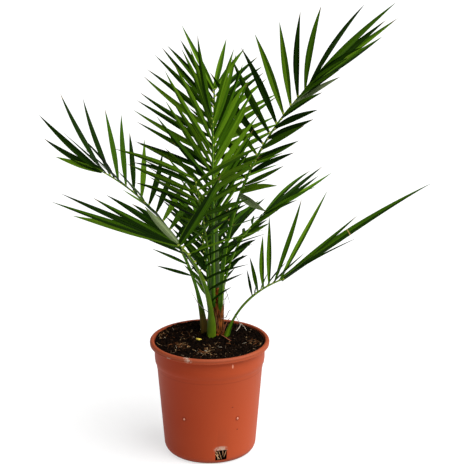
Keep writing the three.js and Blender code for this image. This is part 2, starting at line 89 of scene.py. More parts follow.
# The faded tone serves random pale patches and also the painted sheen on the lit right side.
POT_FADED_AND_SHEEN = (0.375, 0.064, 0.0190, 1)
# Painted sheen on the lip.
LIP_SHEEN = (0.285, 0.060, 0.0240, 1)
# Painted shade in the step of the ledge below the collar.
LEDGE_SHADE_COLOUR = (0.16, 0.020, 0.005, 1)
# Painted shade towards the foot, by the floor.
HEEL_SHADE_COLOUR = (0.11, 0.020, 0.007, 1)
POT_DUST = (0.52, 0.40, 0.31, 1)
PIP_COLOUR = (0.74, 0.34, 0.22, 1)
# Painted shade in a ring round each pip, where a shallow dimple would be.
PIP_SHADE_COLOUR = (0.16, 0.014, 0.004, 1)
SPECK_COLOUR = (0.07, 0.012, 0.006, 1)
# Painted sheen lightens the pot towards its right, where the key light falls, and up its lip to just
# under the top; painted shade darkens it towards its foot. Each range runs from no change to the full change.
SHEEN_ACROSS = (-0.055, 0.085)
SHEEN_LIP = (POT_HEIGHT - LIP_HEIGHT - 0.002, POT_HEIGHT - 0.003)
SHADE_HEEL = (0.010, 0.001)
# Marks on the pot: degrees round it, height, distance from its axis and half sizes. Those on the
# plain wall leave out the distance.
LIP_MARKS = [
    (-109.5, 0.1825, LIP_RADIUS, (0.0085, 0.006, 0.0048)),
    (-112, 0.1855, LIP_RADIUS - 0.004, (0.006, 0.005, 0.003)),
    (-131, 0.1800, LIP_RADIUS, (0.007, 0.006, 0.0009)),
]
HOLE_MARKS = [(turn, HOLE_TOP + 0.002, (0.014, 0.014, 0.007)) for turn in HOLE_TURNS]
SCUFFS = [(-65.3, 0.1697, COLLAR_RADIUS, (0.0015, 0.006, 0.0045))]
# The dark rings round the pips are painted shade.
PIP_SHADE_RINGS = [(turn, PIP_HEIGHT, (0.0056, 0.0056, 0.0056)) for turn in PIP_TURNS]
DARK_SPECKS = [(-55.6, 0.0581, (0.0019, 0.0025, 0.0014)), (-63.2, 0.0988, (0.0020, 0.0028, 0.0011))]


def arc(centre, radii, start, end, steps):
    """Points of an arc, as distance from the pot's axis and height. Angles are in degrees."""
    angles = [math.radians(start + (end - start) * i / steps) for i in range(steps + 1)]
    return [(centre[0] + radii[0] * math.cos(a), centre[1] + radii[1] * math.sin(a)) for a in angles]


def wall_radius(height):
    """Distance of the tapered outer wall from the axis."""
    share = (height - HEEL_HEIGHT) / (COLLAR_FOOT - HEEL_HEIGHT)
    return HEEL_RADIUS + (BODY_RADIUS - HEEL_RADIUS) * share


def outer_profile():
    """The outer wall from the middle of the underside up to the mouth."""
    lip_foot = POT_HEIGHT - LIP_HEIGHT
    bead = (LIP_RADIUS - BEAD_SETBACK - BEAD_ROUND, lip_foot + BEAD_ROUND)
    lip = (LIP_RADIUS - LIP_ROUND, POT_HEIGHT - LIP_ROUND)
    mouth = (MOUTH_RADIUS + MOUTH_ROUND[0], POT_HEIGHT - WALL)
    return [
        (0, UNDERSIDE_RECESS),
        (FOOT_RADIUS - FOOT_RIM - RECESS_SLOPE, UNDERSIDE_RECESS),
        (FOOT_RADIUS - FOOT_RIM, 0),
        *arc((FOOT_RADIUS, HEEL_HEIGHT), (HEEL_RADIUS - FOOT_RADIUS, HEEL_HEIGHT), -90, 0, HEEL_STEPS),
        *[(wall_radius(height), height) for height in (HOLE_TOP, *BODY_RINGS)],
        (wall_radius(LEDGE_HEIGHT) + LEDGE, LEDGE_HEIGHT),
        (BODY_RADIUS + LEDGE, COLLAR_FOOT - SOFT_EDGE),
        (BODY_RADIUS + LEDGE * 2, COLLAR_FOOT),
        *[(COLLAR_RADIUS - inside, COLLAR_FOOT + COLLAR_STEP * steps) for inside, steps in COLLAR_SHOULDER],
        (COLLAR_RADIUS, lip_foot - SOFT_EDGE),
        (COLLAR_RADIUS + LEDGE * 2, lip_foot),
        (LIP_RADIUS - LIP_UNDERCUT, lip_foot),
        *arc(bead, (BEAD_ROUND, BEAD_ROUND), -75, 30, 4),
        (LIP_RADIUS - LIP_WAIST, lip_foot + LIP_ROUND),
        *arc(lip, (LIP_ROUND, LIP_ROUND), 0, 90, 6),
        *arc(mouth, MOUTH_ROUND, 100, 180, 4),
    ]


def inner_profile():
    """The inner wall from the mouth down to the middle of the floor."""
    heel_radii = (HEEL_RADIUS - WALL - FOOT_RADIUS, HEEL_HEIGHT - WALL)
    return [
        (MOUTH_RADIUS - WALL, POT_HEIGHT - 3 * WALL),
        (COLLAR_RADIUS - 1.3 * WALL, COLLAR_FOOT + 3 * WALL),
        (BODY_RADIUS - WALL, COLLAR_FOOT),
        (wall_radius(HOLE_TOP) - WALL, HOLE_TOP),
        *arc((FOOT_RADIUS, HEEL_HEIGHT), heel_radii, 0, -90, HEEL_STEPS),
        (0, WALL),
    ]


def spin_profile(profile, segments):
    """A profile of (distance from the axis, height) points turned once round the upright axis."""
    shape = bmesh.new()
    points = [shape.verts.new((radius, 0, height)) for radius, height in profile]
    edges = [shape.edges.new(pair) for pair in zip(points, points[1:])]
    bmesh.ops.spin(shape, geom=points + edges, cent=(0, 0, 0), axis=(0, 0, 1),
                   angle=math.tau, steps=segments, use_merge=True)
    bmesh.ops.remove_doubles(shape, verts=shape.verts, dist=1e-6)
    bmesh.ops.recalc_face_normals(shape, faces=shape.faces)
    return shape


def open_drain_hole(shape, middle):
    """Cuts one hole through the wall at an angle, joins its two rims and rounds their edges."""
    half_width = math.pi / POT_SEGMENTS * HOLE_SEGMENTS
    window = []
    for face in shape.faces:
        centre = face.calc_center_median()
        turn = (math.atan2(centre.y, centre.x) - middle + math.pi) % math.tau - math.pi
        if abs(turn) < half_width and HOLE_FOOT < centre.z < HOLE_TOP and centre.xy.length > FOOT_RADIUS:
            window.append(face)
    cut = set(window)
    rims = [edge for edge in {edge for face in window for edge in face.edges}
            if any(face not in cut for face in edge.link_faces)]
    bmesh.ops.delete(shape, geom=window, context="FACES")
    bmesh.ops.bridge_loops(shape, edges=rims)
    outer = [edge for edge in rims if edge.is_valid
             and edge.verts[0].co.xy.length > wall_radius(edge.verts[0].co.z) - RIM_ZONE
             and edge.calc_face_angle(0) > math.radians(RIM_SHARP_DEGREES)]
    bmesh.ops.bevel(shape, geom=outer, offset=RIM_BEVEL, offset_type="OFFSET", segments=2,
                    profile=0.5, affect="EDGES", material=-1)


def mesh_of(shape):
    mesh = bpy.data.meshes.new("mesh")
    shape.to_mesh(mesh)
    shape.free()
    return mesh


def show_piece(name, mesh, materials, sharp_degrees=35):
    """An object for a finished mesh, smooth but for its sharp edges, that rides on the one body."""
    mesh.name = name
    for material in materials:
        mesh.materials.append(material)
    mesh.shade_smooth()
    mesh.set_sharp_from_angle(angle=math.radians(sharp_degrees))
    piece = bpy.data.objects.new(name, mesh)
    bpy.context.scene.collection.objects.link(piece)
    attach(piece, "root")
    return piece


def add_node(tree, kind, inputs=None, **settings):
    """Adds a shader node. Its inputs are set to plain values or linked to other nodes' sockets."""
    made = tree.nodes.new(kind)
    for setting, value in settings.items():
        setattr(made, setting, value)
    for socket, value in (inputs or {}).items():
        if isinstance(value, bpy.types.NodeSocket):
            tree.links.new(value, made.inputs[socket])
        else:
            made.inputs[socket].default_value = value
    return made


def new_material(name):
    material = bpy.data.materials.new(name)
    material.use_nodes = True
    tree = material.node_tree
    return material, tree, tree.nodes["Principled BSDF"]


def set_surface(tree, shader, colour, roughness, specular, normal):
    """Gives a shader its patterned colour and normal, and plain gloss."""
    tree.links.new(colour, shader.inputs["Base Color"])
    shader.inputs["Roughness"].default_value = roughness
    shader.inputs["Specular IOR Level"].default_value = specular
    tree.links.new(normal, shader.inputs["Normal"])


def object_place(tree):
    return add_node(tree, "ShaderNodeTexCoord").outputs["Object"]


def blend_colours(tree, factor, first, second):
    mix = add_node(tree, "ShaderNodeMix", {0: factor, 6: first, 7: second}, data_type="RGBA")
    return mix.outputs[2]


def ramp(tree, value, start, end, low=0, high=1, **settings):
    """Low where the value is at start or before it, high from end on."""
    made = add_node(tree, "ShaderNodeMapRange", {
        "Value": value, "From Min": start, "From Max": end, "To Min": low, "To Max": high}, **settings)
    return made.outputs["Result"]


def bump(tree, height, strength, distance):
    made = add_node(tree, "ShaderNodeBump", {"Height": height, "Strength": strength, "Distance": distance})
    return made.outputs["Normal"]


def make_mottle_group():
    """A patchy mask that every finish here uses: cloudy patches with fine specks on them."""
    group = bpy.data.node_groups.new("mottle", "ShaderNodeTree")
    group.interface.new_socket("Place", in_out="INPUT", socket_type="NodeSocketVector")
    for name in ("Patch Scale", "Speck Scale", "Low", "High"):
        group.interface.new_socket(name, in_out="INPUT", socket_type="NodeSocketFloat")
    group.interface.new_socket("Mask", in_out="OUTPUT", socket_type="NodeSocketFloat")
    group.interface.new_socket("Specks", in_out="OUTPUT", socket_type="NodeSocketFloat")
    entry = group.nodes.new("NodeGroupInput")
    leave = group.nodes.new("NodeGroupOutput")
    patches = add_node(group, "ShaderNodeTexNoise", {
        "Vector": entry.outputs["Place"], "Scale": entry.outputs["Patch Scale"], "Detail": 4})
    specks = add_node(group, "ShaderNodeTexNoise", {
        "Vector": entry.outputs["Place"], "Scale": entry.outputs["Speck Scale"], "Detail": 2})
    spread = ramp(group, patches.outputs["Fac"], entry.outputs["Low"], entry.outputs["High"],
                  interpolation_type="SMOOTHSTEP")
    group.links.new(spread, leave.inputs["Mask"])
    group.links.new(specks.outputs["Fac"], leave.inputs["Specks"])
    return group


mottle_group = make_mottle_group()


def mottle(tree, place, patch_scale, speck_scale, low=0.35, high=0.65):
    """The group's mask and specks, with scales in patches per metre."""
    made = add_node(tree, "ShaderNodeGroup", node_tree=mottle_group)
    tree.links.new(place, made.inputs["Place"])
    for socket, value in (("Patch Scale", patch_scale), ("Speck Scale", speck_scale),
                          ("Low", low), ("High", high)):
        made.inputs[socket].default_value = value
    return made.outputs["Mask"], made.outputs["Specks"]


def spot_mask(tree, place, centre, size):
    """1 at a centre, fading to 0 at an ellipsoid of the given half sizes."""
    offset = add_node(tree, "ShaderNodeVectorMath", {0: place, 1: centre}, operation="SUBTRACT")
    shrunk = add_node(tree, "ShaderNodeVectorMath", {0: offset.outputs[0], 1: size}, operation="DIVIDE")
    reach = add_node(tree, "ShaderNodeVectorMath", {0: shrunk.outputs[0]}, operation="LENGTH")
    return ramp(tree, reach.outputs["Value"], 1.0, 0.35, interpolation_type="SMOOTHSTEP")


def on_pot(degrees, height, radius=None):
    """A point on the pot's outer wall, or at a distance from its axis."""
    radius = radius or wall_radius(height)
    turn = math.radians(degrees)
    return (radius * math.cos(turn), radius * math.sin(turn), height)


def multiply(tree, first, second):
    return add_node(tree, "ShaderNodeMath", {0: first, 1: second}, operation="MULTIPLY").outputs[0]


def pot_marks(tree, place, marks):
    """One mask for several marks: at each point the strongest counts."""
    result = None
    for *where, size in marks:
        mask = spot_mask(tree, place, on_pot(*where), size)
        if result:
            mask = add_node(tree, "ShaderNodeMath", {0: result, 1: mask}, operation="MAXIMUM").outputs[0]
        result = mask
    return result


def pot_plastic():
    """Satin plastic, slightly cloudy, with rubbed marks on the lip and dried compost by the holes.
    Painted sheen lightens its right side and its lip, and painted shade darkens its foot, the step
    of its ledge and rings round the pips.
    """
    material, tree, shader = new_material("pot_plastic")
    place = object_place(tree)
    clouds, specks = mottle(tree, place, patch_scale=9, speck_scale=420, low=0.3, high=0.75)
    axes = add_node(tree, "ShaderNodeSeparateXYZ", {0: place}).outputs
    grain = add_node(tree, "ShaderNodeTexNoise", {"Vector": place, "Scale": 330, "Detail": 4})
    rubbed = ramp(tree, grain.outputs["Fac"], 0.36, 0.56)
    dust = multiply(tree, pot_marks(tree, place, LIP_MARKS + HOLE_MARKS), rubbed)
    layers = [
        (clouds, 0.3, POT_FADED_AND_SHEEN),
        # painted sheen on the right, where the key light falls
        (ramp(tree, axes["X"], *SHEEN_ACROSS), 0.85, POT_FADED_AND_SHEEN),
        # painted sheen on the lip
        (ramp(tree, axes["Z"], *SHEEN_LIP), 0.9, LIP_SHEEN),
        # painted shade in the step of the ledge
        (spot_mask(tree, place, (0, 0, LEDGE_HEIGHT), (0.2, 0.2, 0.0016)), 0.3, LEDGE_SHADE_COLOUR),
        # painted shade towards the foot, by the floor
        (ramp(tree, axes["Z"], *SHADE_HEEL), 0.85, HEEL_SHADE_COLOUR),
        (dust, 0.75, POT_DUST),
        (pot_marks(tree, place, SCUFFS), 0.8, PIP_COLOUR),
        # painted shade in rings round the pips
        (pot_marks(tree, place, PIP_SHADE_RINGS), 0.6, PIP_SHADE_COLOUR),
        (pot_marks(tree, place, DARK_SPECKS), 0.8, SPECK_COLOUR),
    ]
    colour = POT_COLOUR
    for mask, strength, tint in layers:
        colour = blend_colours(tree, multiply(tree, mask, strength), colour, tint)
    set_surface(tree, shader, colour, roughness=0.5, specular=0.11,
                normal=bump(tree, specks, strength=0.12, distance=0.0004))
    gloss = ramp(tree, specks, 0, 1, low=0.46, high=0.60)
    tree.links.new(gloss, shader.inputs["Roughness"])
    return material


def make_pot():
    shell = spin_profile(outer_profile() + inner_profile(), POT_SEGMENTS)
    for turn in HOLE_TURNS:
        open_drain_hole(shell, math.radians(turn))
    pot = show_piece("pot_shell", mesh_of(shell), [pot_plastic()], sharp_degrees=28)
    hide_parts("pot")
    pips = bmesh.new()
    for turn in PIP_TURNS:
        spot = Matrix.Translation(on_pot(turn, PIP_HEIGHT))
        bmesh.ops.create_uvsphere(pips, u_segments=14, v_segments=10, radius=PIP_RADIUS, matrix=spot)
    pip_plastic, tree, shader = new_material("pot_pip_plastic")
    clouds, _ = mottle(tree, object_place(tree), patch_scale=500, speck_scale=900)
    tree.links.new(blend_colours(tree, clouds, POT_FADED_AND_SHEEN, PIP_COLOUR), shader.inputs["Base Color"])
    shader.inputs["Roughness"].default_value = 0.3
    piece = show_piece("pot_pips", mesh_of(pips), [pip_plastic])


make_pot()

# Compost: moist dark bark and coir, filled to just under the lip. Loose crumbs, wood slivers and
# coir fibres lie on it, with a yellow grain, a reddish stick and a forked pale root.
SOIL_LEVEL = 0.1815
SOIL_AT_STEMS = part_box("soil")[1].z
SOIL_REACH = MOUTH_RADIUS - WALL
SOIL_GAP = 0.0005
SOIL_RINGS = 58
SOIL_SEGMENTS = 200
STEM_PATCH = (0.006, 0.022)
STEM_PATCH_RADIUS = 0.045
STEM_MOUND = 0.0022
SOIL_RISE = 0.0030
RISE_WAY = (-0.5, 0.85)
EDGE_RISE = 0.0016
# Lumps, crumbs and grit in the surface: waves per metre and their height.
SOIL_ROUGHNESS = ((60, 0.0014), (230, 0.0011), (600, 0.0006))
COMPOST_COLOUR = (0.0010, 0.0006, 0.0004, 1)
COMPOST_DRY = (0.0045, 0.0022, 0.0012, 1)
LUMP_KINDS = 6
LUMP_TILT = 32
STRAND_KINDS = 8
STRAND_RINGS = 7
STRAND_BEND = 0.35
# Where the litter lies thicker: x, y, spread and share of its pieces.
LITTER_PATCHES = [
    (-0.051, -0.022, 0.008, 0.17), (-0.032, -0.030, 0.008, 0.06), (-0.006, -0.053, 0.009, 0.20),
    (0.010, -0.026, 0.010, 0.08), (0.074, -0.009, 0.008, 0.16), (-0.068, 0.034, 0.007, 0.09),
    (-0.079, 0.008, 0.006, 0.07), (-0.040, 0.018, 0.012, 0.05),
]
rng = np.random.default_rng(7)


def soil_height(x, y):
    """The compost's lumpy surface: it is drawn up round the stems, at the back and at the wall."""
    reach = math.hypot(x, y) / MOUTH_RADIUS
    near_stems = math.hypot(x - STEM_PATCH[0], y - STEM_PATCH[1]) / STEM_PATCH_RADIUS
    mound = STEM_MOUND * math.exp(-near_stems ** 4)
    back = SOIL_RISE * max(0, (RISE_WAY[0] * x + RISE_WAY[1] * y) / MOUTH_RADIUS) ** 1.2
    height = SOIL_LEVEL + mound + back + EDGE_RISE * reach ** 4
    for layer, (waves, swell) in enumerate(SOIL_ROUGHNESS):
        height += noise.noise(Vector((x, y, layer)) * waves) * swell
    return height


def compost_body():
    """The filling: it follows the pot's inner wall just clear of it, with a lumpy top."""
    inside = [(max(0, radius - SOIL_GAP), height + SOIL_GAP * (height < HEEL_HEIGHT))
              for radius, height in reversed(inner_profile()) if height < SOIL_LEVEL - 0.001]
    edge_radius = inside[-1][0] + (SOIL_REACH - inside[-1][0]) * 0.9
    top = [(edge_radius * (1 - i / SOIL_RINGS), SOIL_LEVEL) for i in range(SOIL_RINGS + 1)]
    shape = spin_profile(inside + top, SOIL_SEGMENTS)
    for vert in shape.verts:
        if vert.co.z > SOIL_LEVEL - 1e-5:
            vert.co.z = soil_height(vert.co.x, vert.co.y)
    return mesh_of(shape)


def compost_material(name, first, second, scale=260, roughness=0.85):
    """Rough organic matter that goes from one tone to another over small patches."""
    material, tree, shader = new_material(name)
    patches, specks = mottle(tree, object_place(tree), patch_scale=scale, speck_scale=scale * 4)
    colour = blend_colours(tree, patches, first, second)
    set_surface(tree, shader, colour, roughness=roughness, specular=0.03,
                normal=bump(tree, specks, strength=0.5, distance=0.0006))
    return material


def small_ball():
    """A ball of twenty faces, 1 across, as arrays of corners and faces."""
    ball = bmesh.new()
    bmesh.ops.create_icosphere(ball, subdivisions=1, radius=0.5)
    corners = np.array([vert.co for vert in ball.verts])
    faces = np.array([[vert.index for vert in face.verts] for face in ball.faces])
    ball.free()
    return corners, faces


def lump_shapes():
    """Irregular lumps, about 1 across, as pairs of corner and face arrays."""
    corners, faces = small_ball()
    return [(corners * rng.uniform(0.65, 1.25, (len(corners), 1)), faces) for _ in range(LUMP_KINDS)]


def strand_shapes():
    """Thin three-sided strands of length 1 along x, each with its own bends. A corner is the
    middle of its ring, then how far it stands off it."""
    shapes = []
    for _ in range(STRAND_KINDS):
        along = np.linspace(-0.5, 0.5, STRAND_RINGS)
        kinks = rng.normal(0, STRAND_BEND / STRAND_RINGS, (STRAND_RINGS, 2))
        sway = np.cumsum(np.cumsum(kinks, axis=0), axis=0)
        sway -= np.outer(np.linspace(0, 1, STRAND_RINGS), sway[-1])
        corners = []
        for step, (across, up) in zip(along, sway):
            thick = 0.5 * (1 - 0.7 * abs(2 * step))
            for turn in np.arange(3) * math.tau / 3:
                corners.append((step, across, up, thick * math.cos(turn), thick * math.sin(turn)))
        faces = [(3 * i + k, 3 * i + (k + 1) % 3, 3 * i + 3 + (k + 1) % 3, 3 * i + 3 + k)
                 for i in range(STRAND_RINGS - 1) for k in range(3)]
        shapes.append((np.array(corners), np.array(faces)))
    return shapes


def random_turns(count, tilt):
    """Rotation matrices: any turn about the upright, then a tip of up to tilt degrees."""
    turns = []
    for _ in range(count):
        heading = Matrix.Rotation(rng.uniform(0, math.tau), 3, "Z")
        lean = Matrix.Rotation(math.radians(rng.uniform(-tilt, tilt)), 3, "Y")
        roll = Matrix.Rotation(math.radians(rng.uniform(-tilt, tilt)), 3, "X")
        turns.append(heading @ lean @ roll)
    return np.array(turns)


def joined_copies(copies):
    """One mesh from many (corners, faces) pairs."""
    start = 0
    corners = []
    faces = []
    for points, polygons in copies:
        corners.append(points)
        faces.extend([[index + start for index in polygon] for polygon in polygons])
        start += len(points)
    mesh = bpy.data.meshes.new("mesh")
    mesh.from_pydata(np.concatenate(corners).tolist(), [], faces)
    mesh.update()
    return mesh


def spread_places(count, clusters=()):
    """Points on the compost. Clusters are (x, y, spread, share) and take that share of the points."""
    places = []
    limit = SOIL_REACH - 0.003
    while len(places) < count:
        reach = limit * math.sqrt(rng.uniform())
        turn = rng.uniform(0, math.tau)
        x, y = reach * math.cos(turn), reach * math.sin(turn)
        pick = rng.uniform()
        for centre_x, centre_y, spread, share in clusters:
            if pick < share:
                x, y = rng.normal(centre_x, spread), rng.normal(centre_y, spread)
                break
            pick -= share
        if math.hypot(x, y) < limit:
            places.append((x, y))
    return places


def scatter_lumps(name, count, sizes, flatness, material, clusters=(), sink=0.35):
    """Crumbs or slivers: sizes are (least, most) length, flatness (width, thickness) in lengths."""
    shapes = lump_shapes()
    copies = []
    turns = random_turns(count, LUMP_TILT)
    for (x, y), turn in zip(spread_places(count, clusters), turns):
        corners, faces = shapes[rng.integers(len(shapes))]
        length = rng.uniform(*sizes)
        width = flatness[0] * rng.uniform(0.7, 1.3)
        thickness = flatness[1] * rng.uniform(0.7, 1.3)
        scale = np.array([1, width, thickness]) * length
        lift = scale[2] * (0.5 - sink)
        copies.append((corners * scale @ turn.T + (x, y, soil_height(x, y) + lift), faces))
    piece = show_piece(name, joined_copies(copies), [material], sharp_degrees=20)


def scatter_strands(name, count, lengths, thickness, material, clusters=(), tilt=10):
    """Fibres or long slivers that lie on the compost and stay inside the pot."""
    shapes = strand_shapes()
    copies = []
    turns = random_turns(count, tilt)
    for (x, y), turn in zip(spread_places(count, clusters), turns):
        raw, faces = shapes[rng.integers(len(shapes))]
        corners = raw[:, :3] * rng.uniform(*lengths)
        corners[:, 1:] += raw[:, 3:] * thickness * rng.uniform(0.7, 1.4)
        placed = corners @ turn.T + (x, y, soil_height(x, y) + thickness)
        reach = np.hypot(placed[:, 0], placed[:, 1])
        placed[:, :2] *= np.minimum(1, (SOIL_REACH - 0.001) / reach)[:, None]
        copies.append((placed, faces))
    piece = show_piece(name, joined_copies(copies), [material], sharp_degrees=60)


def make_compost():
    top = compost_material("compost", COMPOST_COLOUR, COMPOST_DRY)
    body = show_piece("compost_body", compost_body(), [top], sharp_degrees=60)
    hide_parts("soil")
    dark = compost_material("compost_crumb", (0.0014, 0.0008, 0.0005, 1), (0.010, 0.0045, 0.0020, 1), 400)
    brown = compost_material("bark_crumb", (0.018, 0.007, 0.003, 1), (0.075, 0.030, 0.010, 1), 500)
    orange = compost_material("bark_sliver", (0.12, 0.040, 0.012, 1), (0.26, 0.10, 0.035, 1), 500)
    tan = compost_material("wood_sliver", (0.14, 0.080, 0.032, 1), (0.38, 0.25, 0.12, 1), 500)
    dim = compost_material("dim_chip", (0.030, 0.018, 0.010, 1), (0.13, 0.085, 0.05, 1), 500)
    pale = compost_material("pale_fibre", (0.42, 0.35, 0.24, 1), (0.66, 0.58, 0.44, 1), 500)
    scatter_lumps("compost_crumbs", 1900, (0.0022, 0.0060), (0.75, 0.6), dark)
    scatter_lumps("bark_crumbs", 120, (0.0030, 0.0075), (0.5, 0.35), brown, LITTER_PATCHES)
    scatter_lumps("wood_slivers", 30, (0.0045, 0.0095), (0.28, 0.16), tan, LITTER_PATCHES, sink=0.1)
    scatter_lumps("pale_chips", 20, (0.0018, 0.0034), (0.6, 0.4), pale, LITTER_PATCHES, sink=0.0)
    scatter_strands("bark_slivers", 60, (0.007, 0.018), 0.0008, orange, LITTER_PATCHES, tilt=24)
    scatter_strands("wood_fibres", 34, (0.007, 0.017), 0.0010, tan, LITTER_PATCHES, tilt=24)
    scatter_strands("coir_fibres", 110, (0.008, 0.024), 0.00045, brown)
    scatter_strands("pale_fibres", 8, (0.008, 0.016), 0.0006, pale, LITTER_PATCHES)
    scatter_lumps("dim_chips", 70, (0.0026, 0.0056), (0.45, 0.3), dim, sink=0.2)
    scatter_strands("dim_fibres", 50, (0.006, 0.014), 0.0007, dim, tilt=20)


make_compost()


def move_to(corners, ring):
    for vert, place in zip(corners, ring):
        vert.co = place


def joined_to(corners, end):
    """For each corner, the one of a new end that an edge joins it to."""
    return [next(edge.other_vert(corner) for edge in corner.link_edges if edge.other_vert(corner) in end)
            for corner in corners]


def sweep(shape, rings):
    """A closed bar through rings of corners: a prism whose end is drawn out from ring to ring."""
    prism = bmesh.ops.create_cone(shape, cap_ends=True, segments=len(rings[0]), radius1=1, radius2=1,
                                  depth=2)["verts"]
    foot = [vert for vert in prism if vert.co.z < 0]
    foot.sort(key=lambda vert: math.atan2(vert.co.y, vert.co.x))
    head = joined_to(foot, {vert for vert in prism if vert.co.z > 0})
    cap = next(face for face in head[0].link_faces if all(vert in head for vert in face.verts))
    sheath = {face for vert in prism for face in vert.link_faces}
    move_to(foot, rings[0])
    move_to(head, rings[1])
    for ring in rings[2:]:
        cap = bmesh.ops.extrude_discrete_faces(shape, faces=[cap])["faces"][0]
        head = joined_to(head, set(cap.verts))
        move_to(head, ring)
        sheath.update(face for vert in head for face in vert.link_faces)
    bmesh.ops.recalc_face_normals(shape, faces=[face for face in sheath if face.is_valid])


def tube_along(shape, route, radii, sides=7):
    """A closed tube through points, with a radius at each."""
    points = [Vector(point) for point in route]
    rings = []
    across = None
    for i, point in enumerate(points):
        along = (points[min(i + 1, len(points) - 1)] - points[max(i - 1, 0)]).normalized()
        across = along.orthogonal() if across is None else across - along * across.dot(along)
        across.normalize()
        through = along.cross(across)
        spokes = [across * math.cos(turn) + through * math.sin(turn)
                  for turn in (k * math.tau / sides for k in range(sides))]
        rings.append([point + spoke * radii[i] for spoke in spokes])
    sweep(shape, rings)


# The single things that stand out on the compost, as routes of (x, y, height above its level) with
# a radius at each point.
YELLOW_GRAIN = [
    (((-0.0214, 0.0026, 0.0036), (-0.0204, -0.0008, 0.0036), (-0.0172, -0.0026, 0.0036),
      (-0.0127, -0.0018, 0.0036)), (0.0007, 0.0017, 0.0018, 0.0006)),
]
REDDISH_STICK = [
    (((0.016, 0.020, 0.0032), (0.021, 0.012, 0.0042), (0.027, 0.003, 0.0032), (0.034, -0.006, 0.0022)),
     (0.0012, 0.0010, 0.0009, 0.0006)),
    (((0.0160, 0.0190, 0.0022), (0.0200, 0.0140, 0.0090), (0.0232, 0.0125, 0.0170),
      (0.0275, 0.0120, 0.0275), (0.0318, 0.0130, 0.0345)), (0.0010, 0.0011, 0.0010, 0.0008, 0.0004)),
]
ROOT_FORK = (0.0500, 0.066, 0.0052)
ROOT_ENDS = ((0.0425, 0.038, 0.0030), (0.0590, 0.041, 0.0030), (0.0470, 0.078, 0.0030))
ROOT_BOW = (0.0012, 0, -0.0001)
ROOT_RADII = (0.0007, 0.0006, 0.0004)
DRAIN_ROOTS = 7
DRAIN_ROOT_STEPS = (-0.3, 0.2, 0.6, 1.0)
DRAIN_ROOT_RADII = (0.0004, 0.0008, 0.0007, 0.0004)
DRAIN_ROOT_RISE = 0.011


def show_litter(name, strands, material, sides=7):
    """One piece of litter from (route, radii) pairs."""
    shape = bmesh.new()
    for route, radii in strands:
        tube_along(shape, [(x, y, SOIL_LEVEL + lift) for x, y, lift in route], radii, sides)
    piece = show_piece(name, mesh_of(shape), [material])


def drain_roots():
    """Short upright roots that fill each drain hole."""
    shape = bmesh.new()
    reach = HEEL_RADIUS - WALL * 0.9
    for turn in HOLE_TURNS:
        for _ in range(DRAIN_ROOTS):
            start = math.radians(turn) + rng.normal(0, 0.07)
            lean = rng.normal(0, 0.06)
            foot = HEEL_HEIGHT * rng.uniform(0.7, 1.3)
            route = [(reach * math.cos(start + lean * step), reach * math.sin(start + lean * step),
                      foot + DRAIN_ROOT_RISE * step) for step in DRAIN_ROOT_STEPS]
            tube_along(shape, route, DRAIN_ROOT_RADII, sides=5)
    return mesh_of(shape)


def make_litter():
    yellow = compost_material("yellow_grain", (0.72, 0.50, 0.035, 1), (0.86, 0.68, 0.12, 1), 300)
    show_litter("yellow_grain", YELLOW_GRAIN, yellow, 10)
    reddish = compost_material("reddish_stick", (0.20, 0.055, 0.026, 1), (0.36, 0.13, 0.07, 1), 400)
    show_litter("reddish_stick", REDDISH_STICK, reddish)
    routes = [(ROOT_FORK, [(a + b) / 2 + bow for a, b, bow in zip(ROOT_FORK, end, ROOT_BOW)], end)
              for end in ROOT_ENDS]
    root = compost_material("pale_root", (0.36, 0.29, 0.23, 1), (0.55, 0.47, 0.38, 1), 500)
    show_litter("pale_root", [(route, ROOT_RADII) for route in routes], root, 6)
    bits = compost_material("drain_roots", (0.22, 0.09, 0.035, 1), (0.50, 0.31, 0.17, 1), 300)
    piece = show_piece("drain_roots", drain_roots(), [bits])


make_litter()

# Trunk: a short woody stem wrapped in the fibrous bases of old leaves. It stands in the compost and
# carries the crown on its upper end.
TRUNK_FOOT = (0.012, 0.028)
TRUNK_LEAN = (0.0015, 0.001)
TRUNK_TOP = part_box("trunk")[1].z
TRUNK_RADIUS = 0.0092
TRUNK_FLARE = 0.0028
TRUNK_TAPER = 0.0012
CROWN_SHARE = 0.85
CROWN_TAPER = 0.0055
TRUNK_SEGMENTS = 40
RING_SCARS = 9
# One ring of the core: shares of its height, and how far it swells there.
RING_SWELL = ((0, 0), (0.35, 0.0004), (0.8, 0.0009), (0.93, 0.0006))
CORE_INSET = 0.0008
CORE_ROUGHNESS = 0.07
TRUNK_SINK = 0.004
LEAF_BASES = 10
LEAF_BASE_THICKNESS = 0.0007
GOLDEN_TURN = 137.5
FIBRE_COUNT = 50
FIBRE_RINGS = 5
FIBRE_RADII = (0.0003, 0.0003, 0.00026, 0.0002, 0.0001)
HAIR_RADIUS = 0.00055
# Loose hairs round the trunk, in metres from the pot's middle.
HAIR_ROUTES = (
    ((0.0210, 0.020, 0.283), (0.0235, 0.019, 0.266), (0.0290, 0.019, 0.250), (0.0320, 0.019, 0.238)),
    ((0.0190, 0.021, 0.243), (0.0250, 0.018, 0.246), (0.0300, 0.018, 0.255)),
    ((0.0400, 0.020, 0.220), (0.0440, 0.021, 0.212), (0.0470, 0.022, 0.204), (0.0490, 0.022, 0.199)),
    ((0.0190, 0.020, 0.212), (0.0260, 0.016, 0.216), (0.0305, 0.016, 0.226), (0.0345, 0.016, 0.229)),
    ((-0.0020, 0.022, 0.222), (-0.0120, 0.016, 0.232), (-0.0190, 0.016, 0.240), (-0.0290, 0.017, 0.258)),
)
BARK_DARK = (0.026, 0.007, 0.002, 1)
BARK_RED = (0.36, 0.092, 0.014, 1)
FIBRE_PALE = (0.30, 0.17, 0.08, 1)


def trunk_share(height):
    """0 at the compost and 1 at the trunk's upper end."""
    return (height - SOIL_AT_STEMS) / (TRUNK_TOP - SOIL_AT_STEMS)


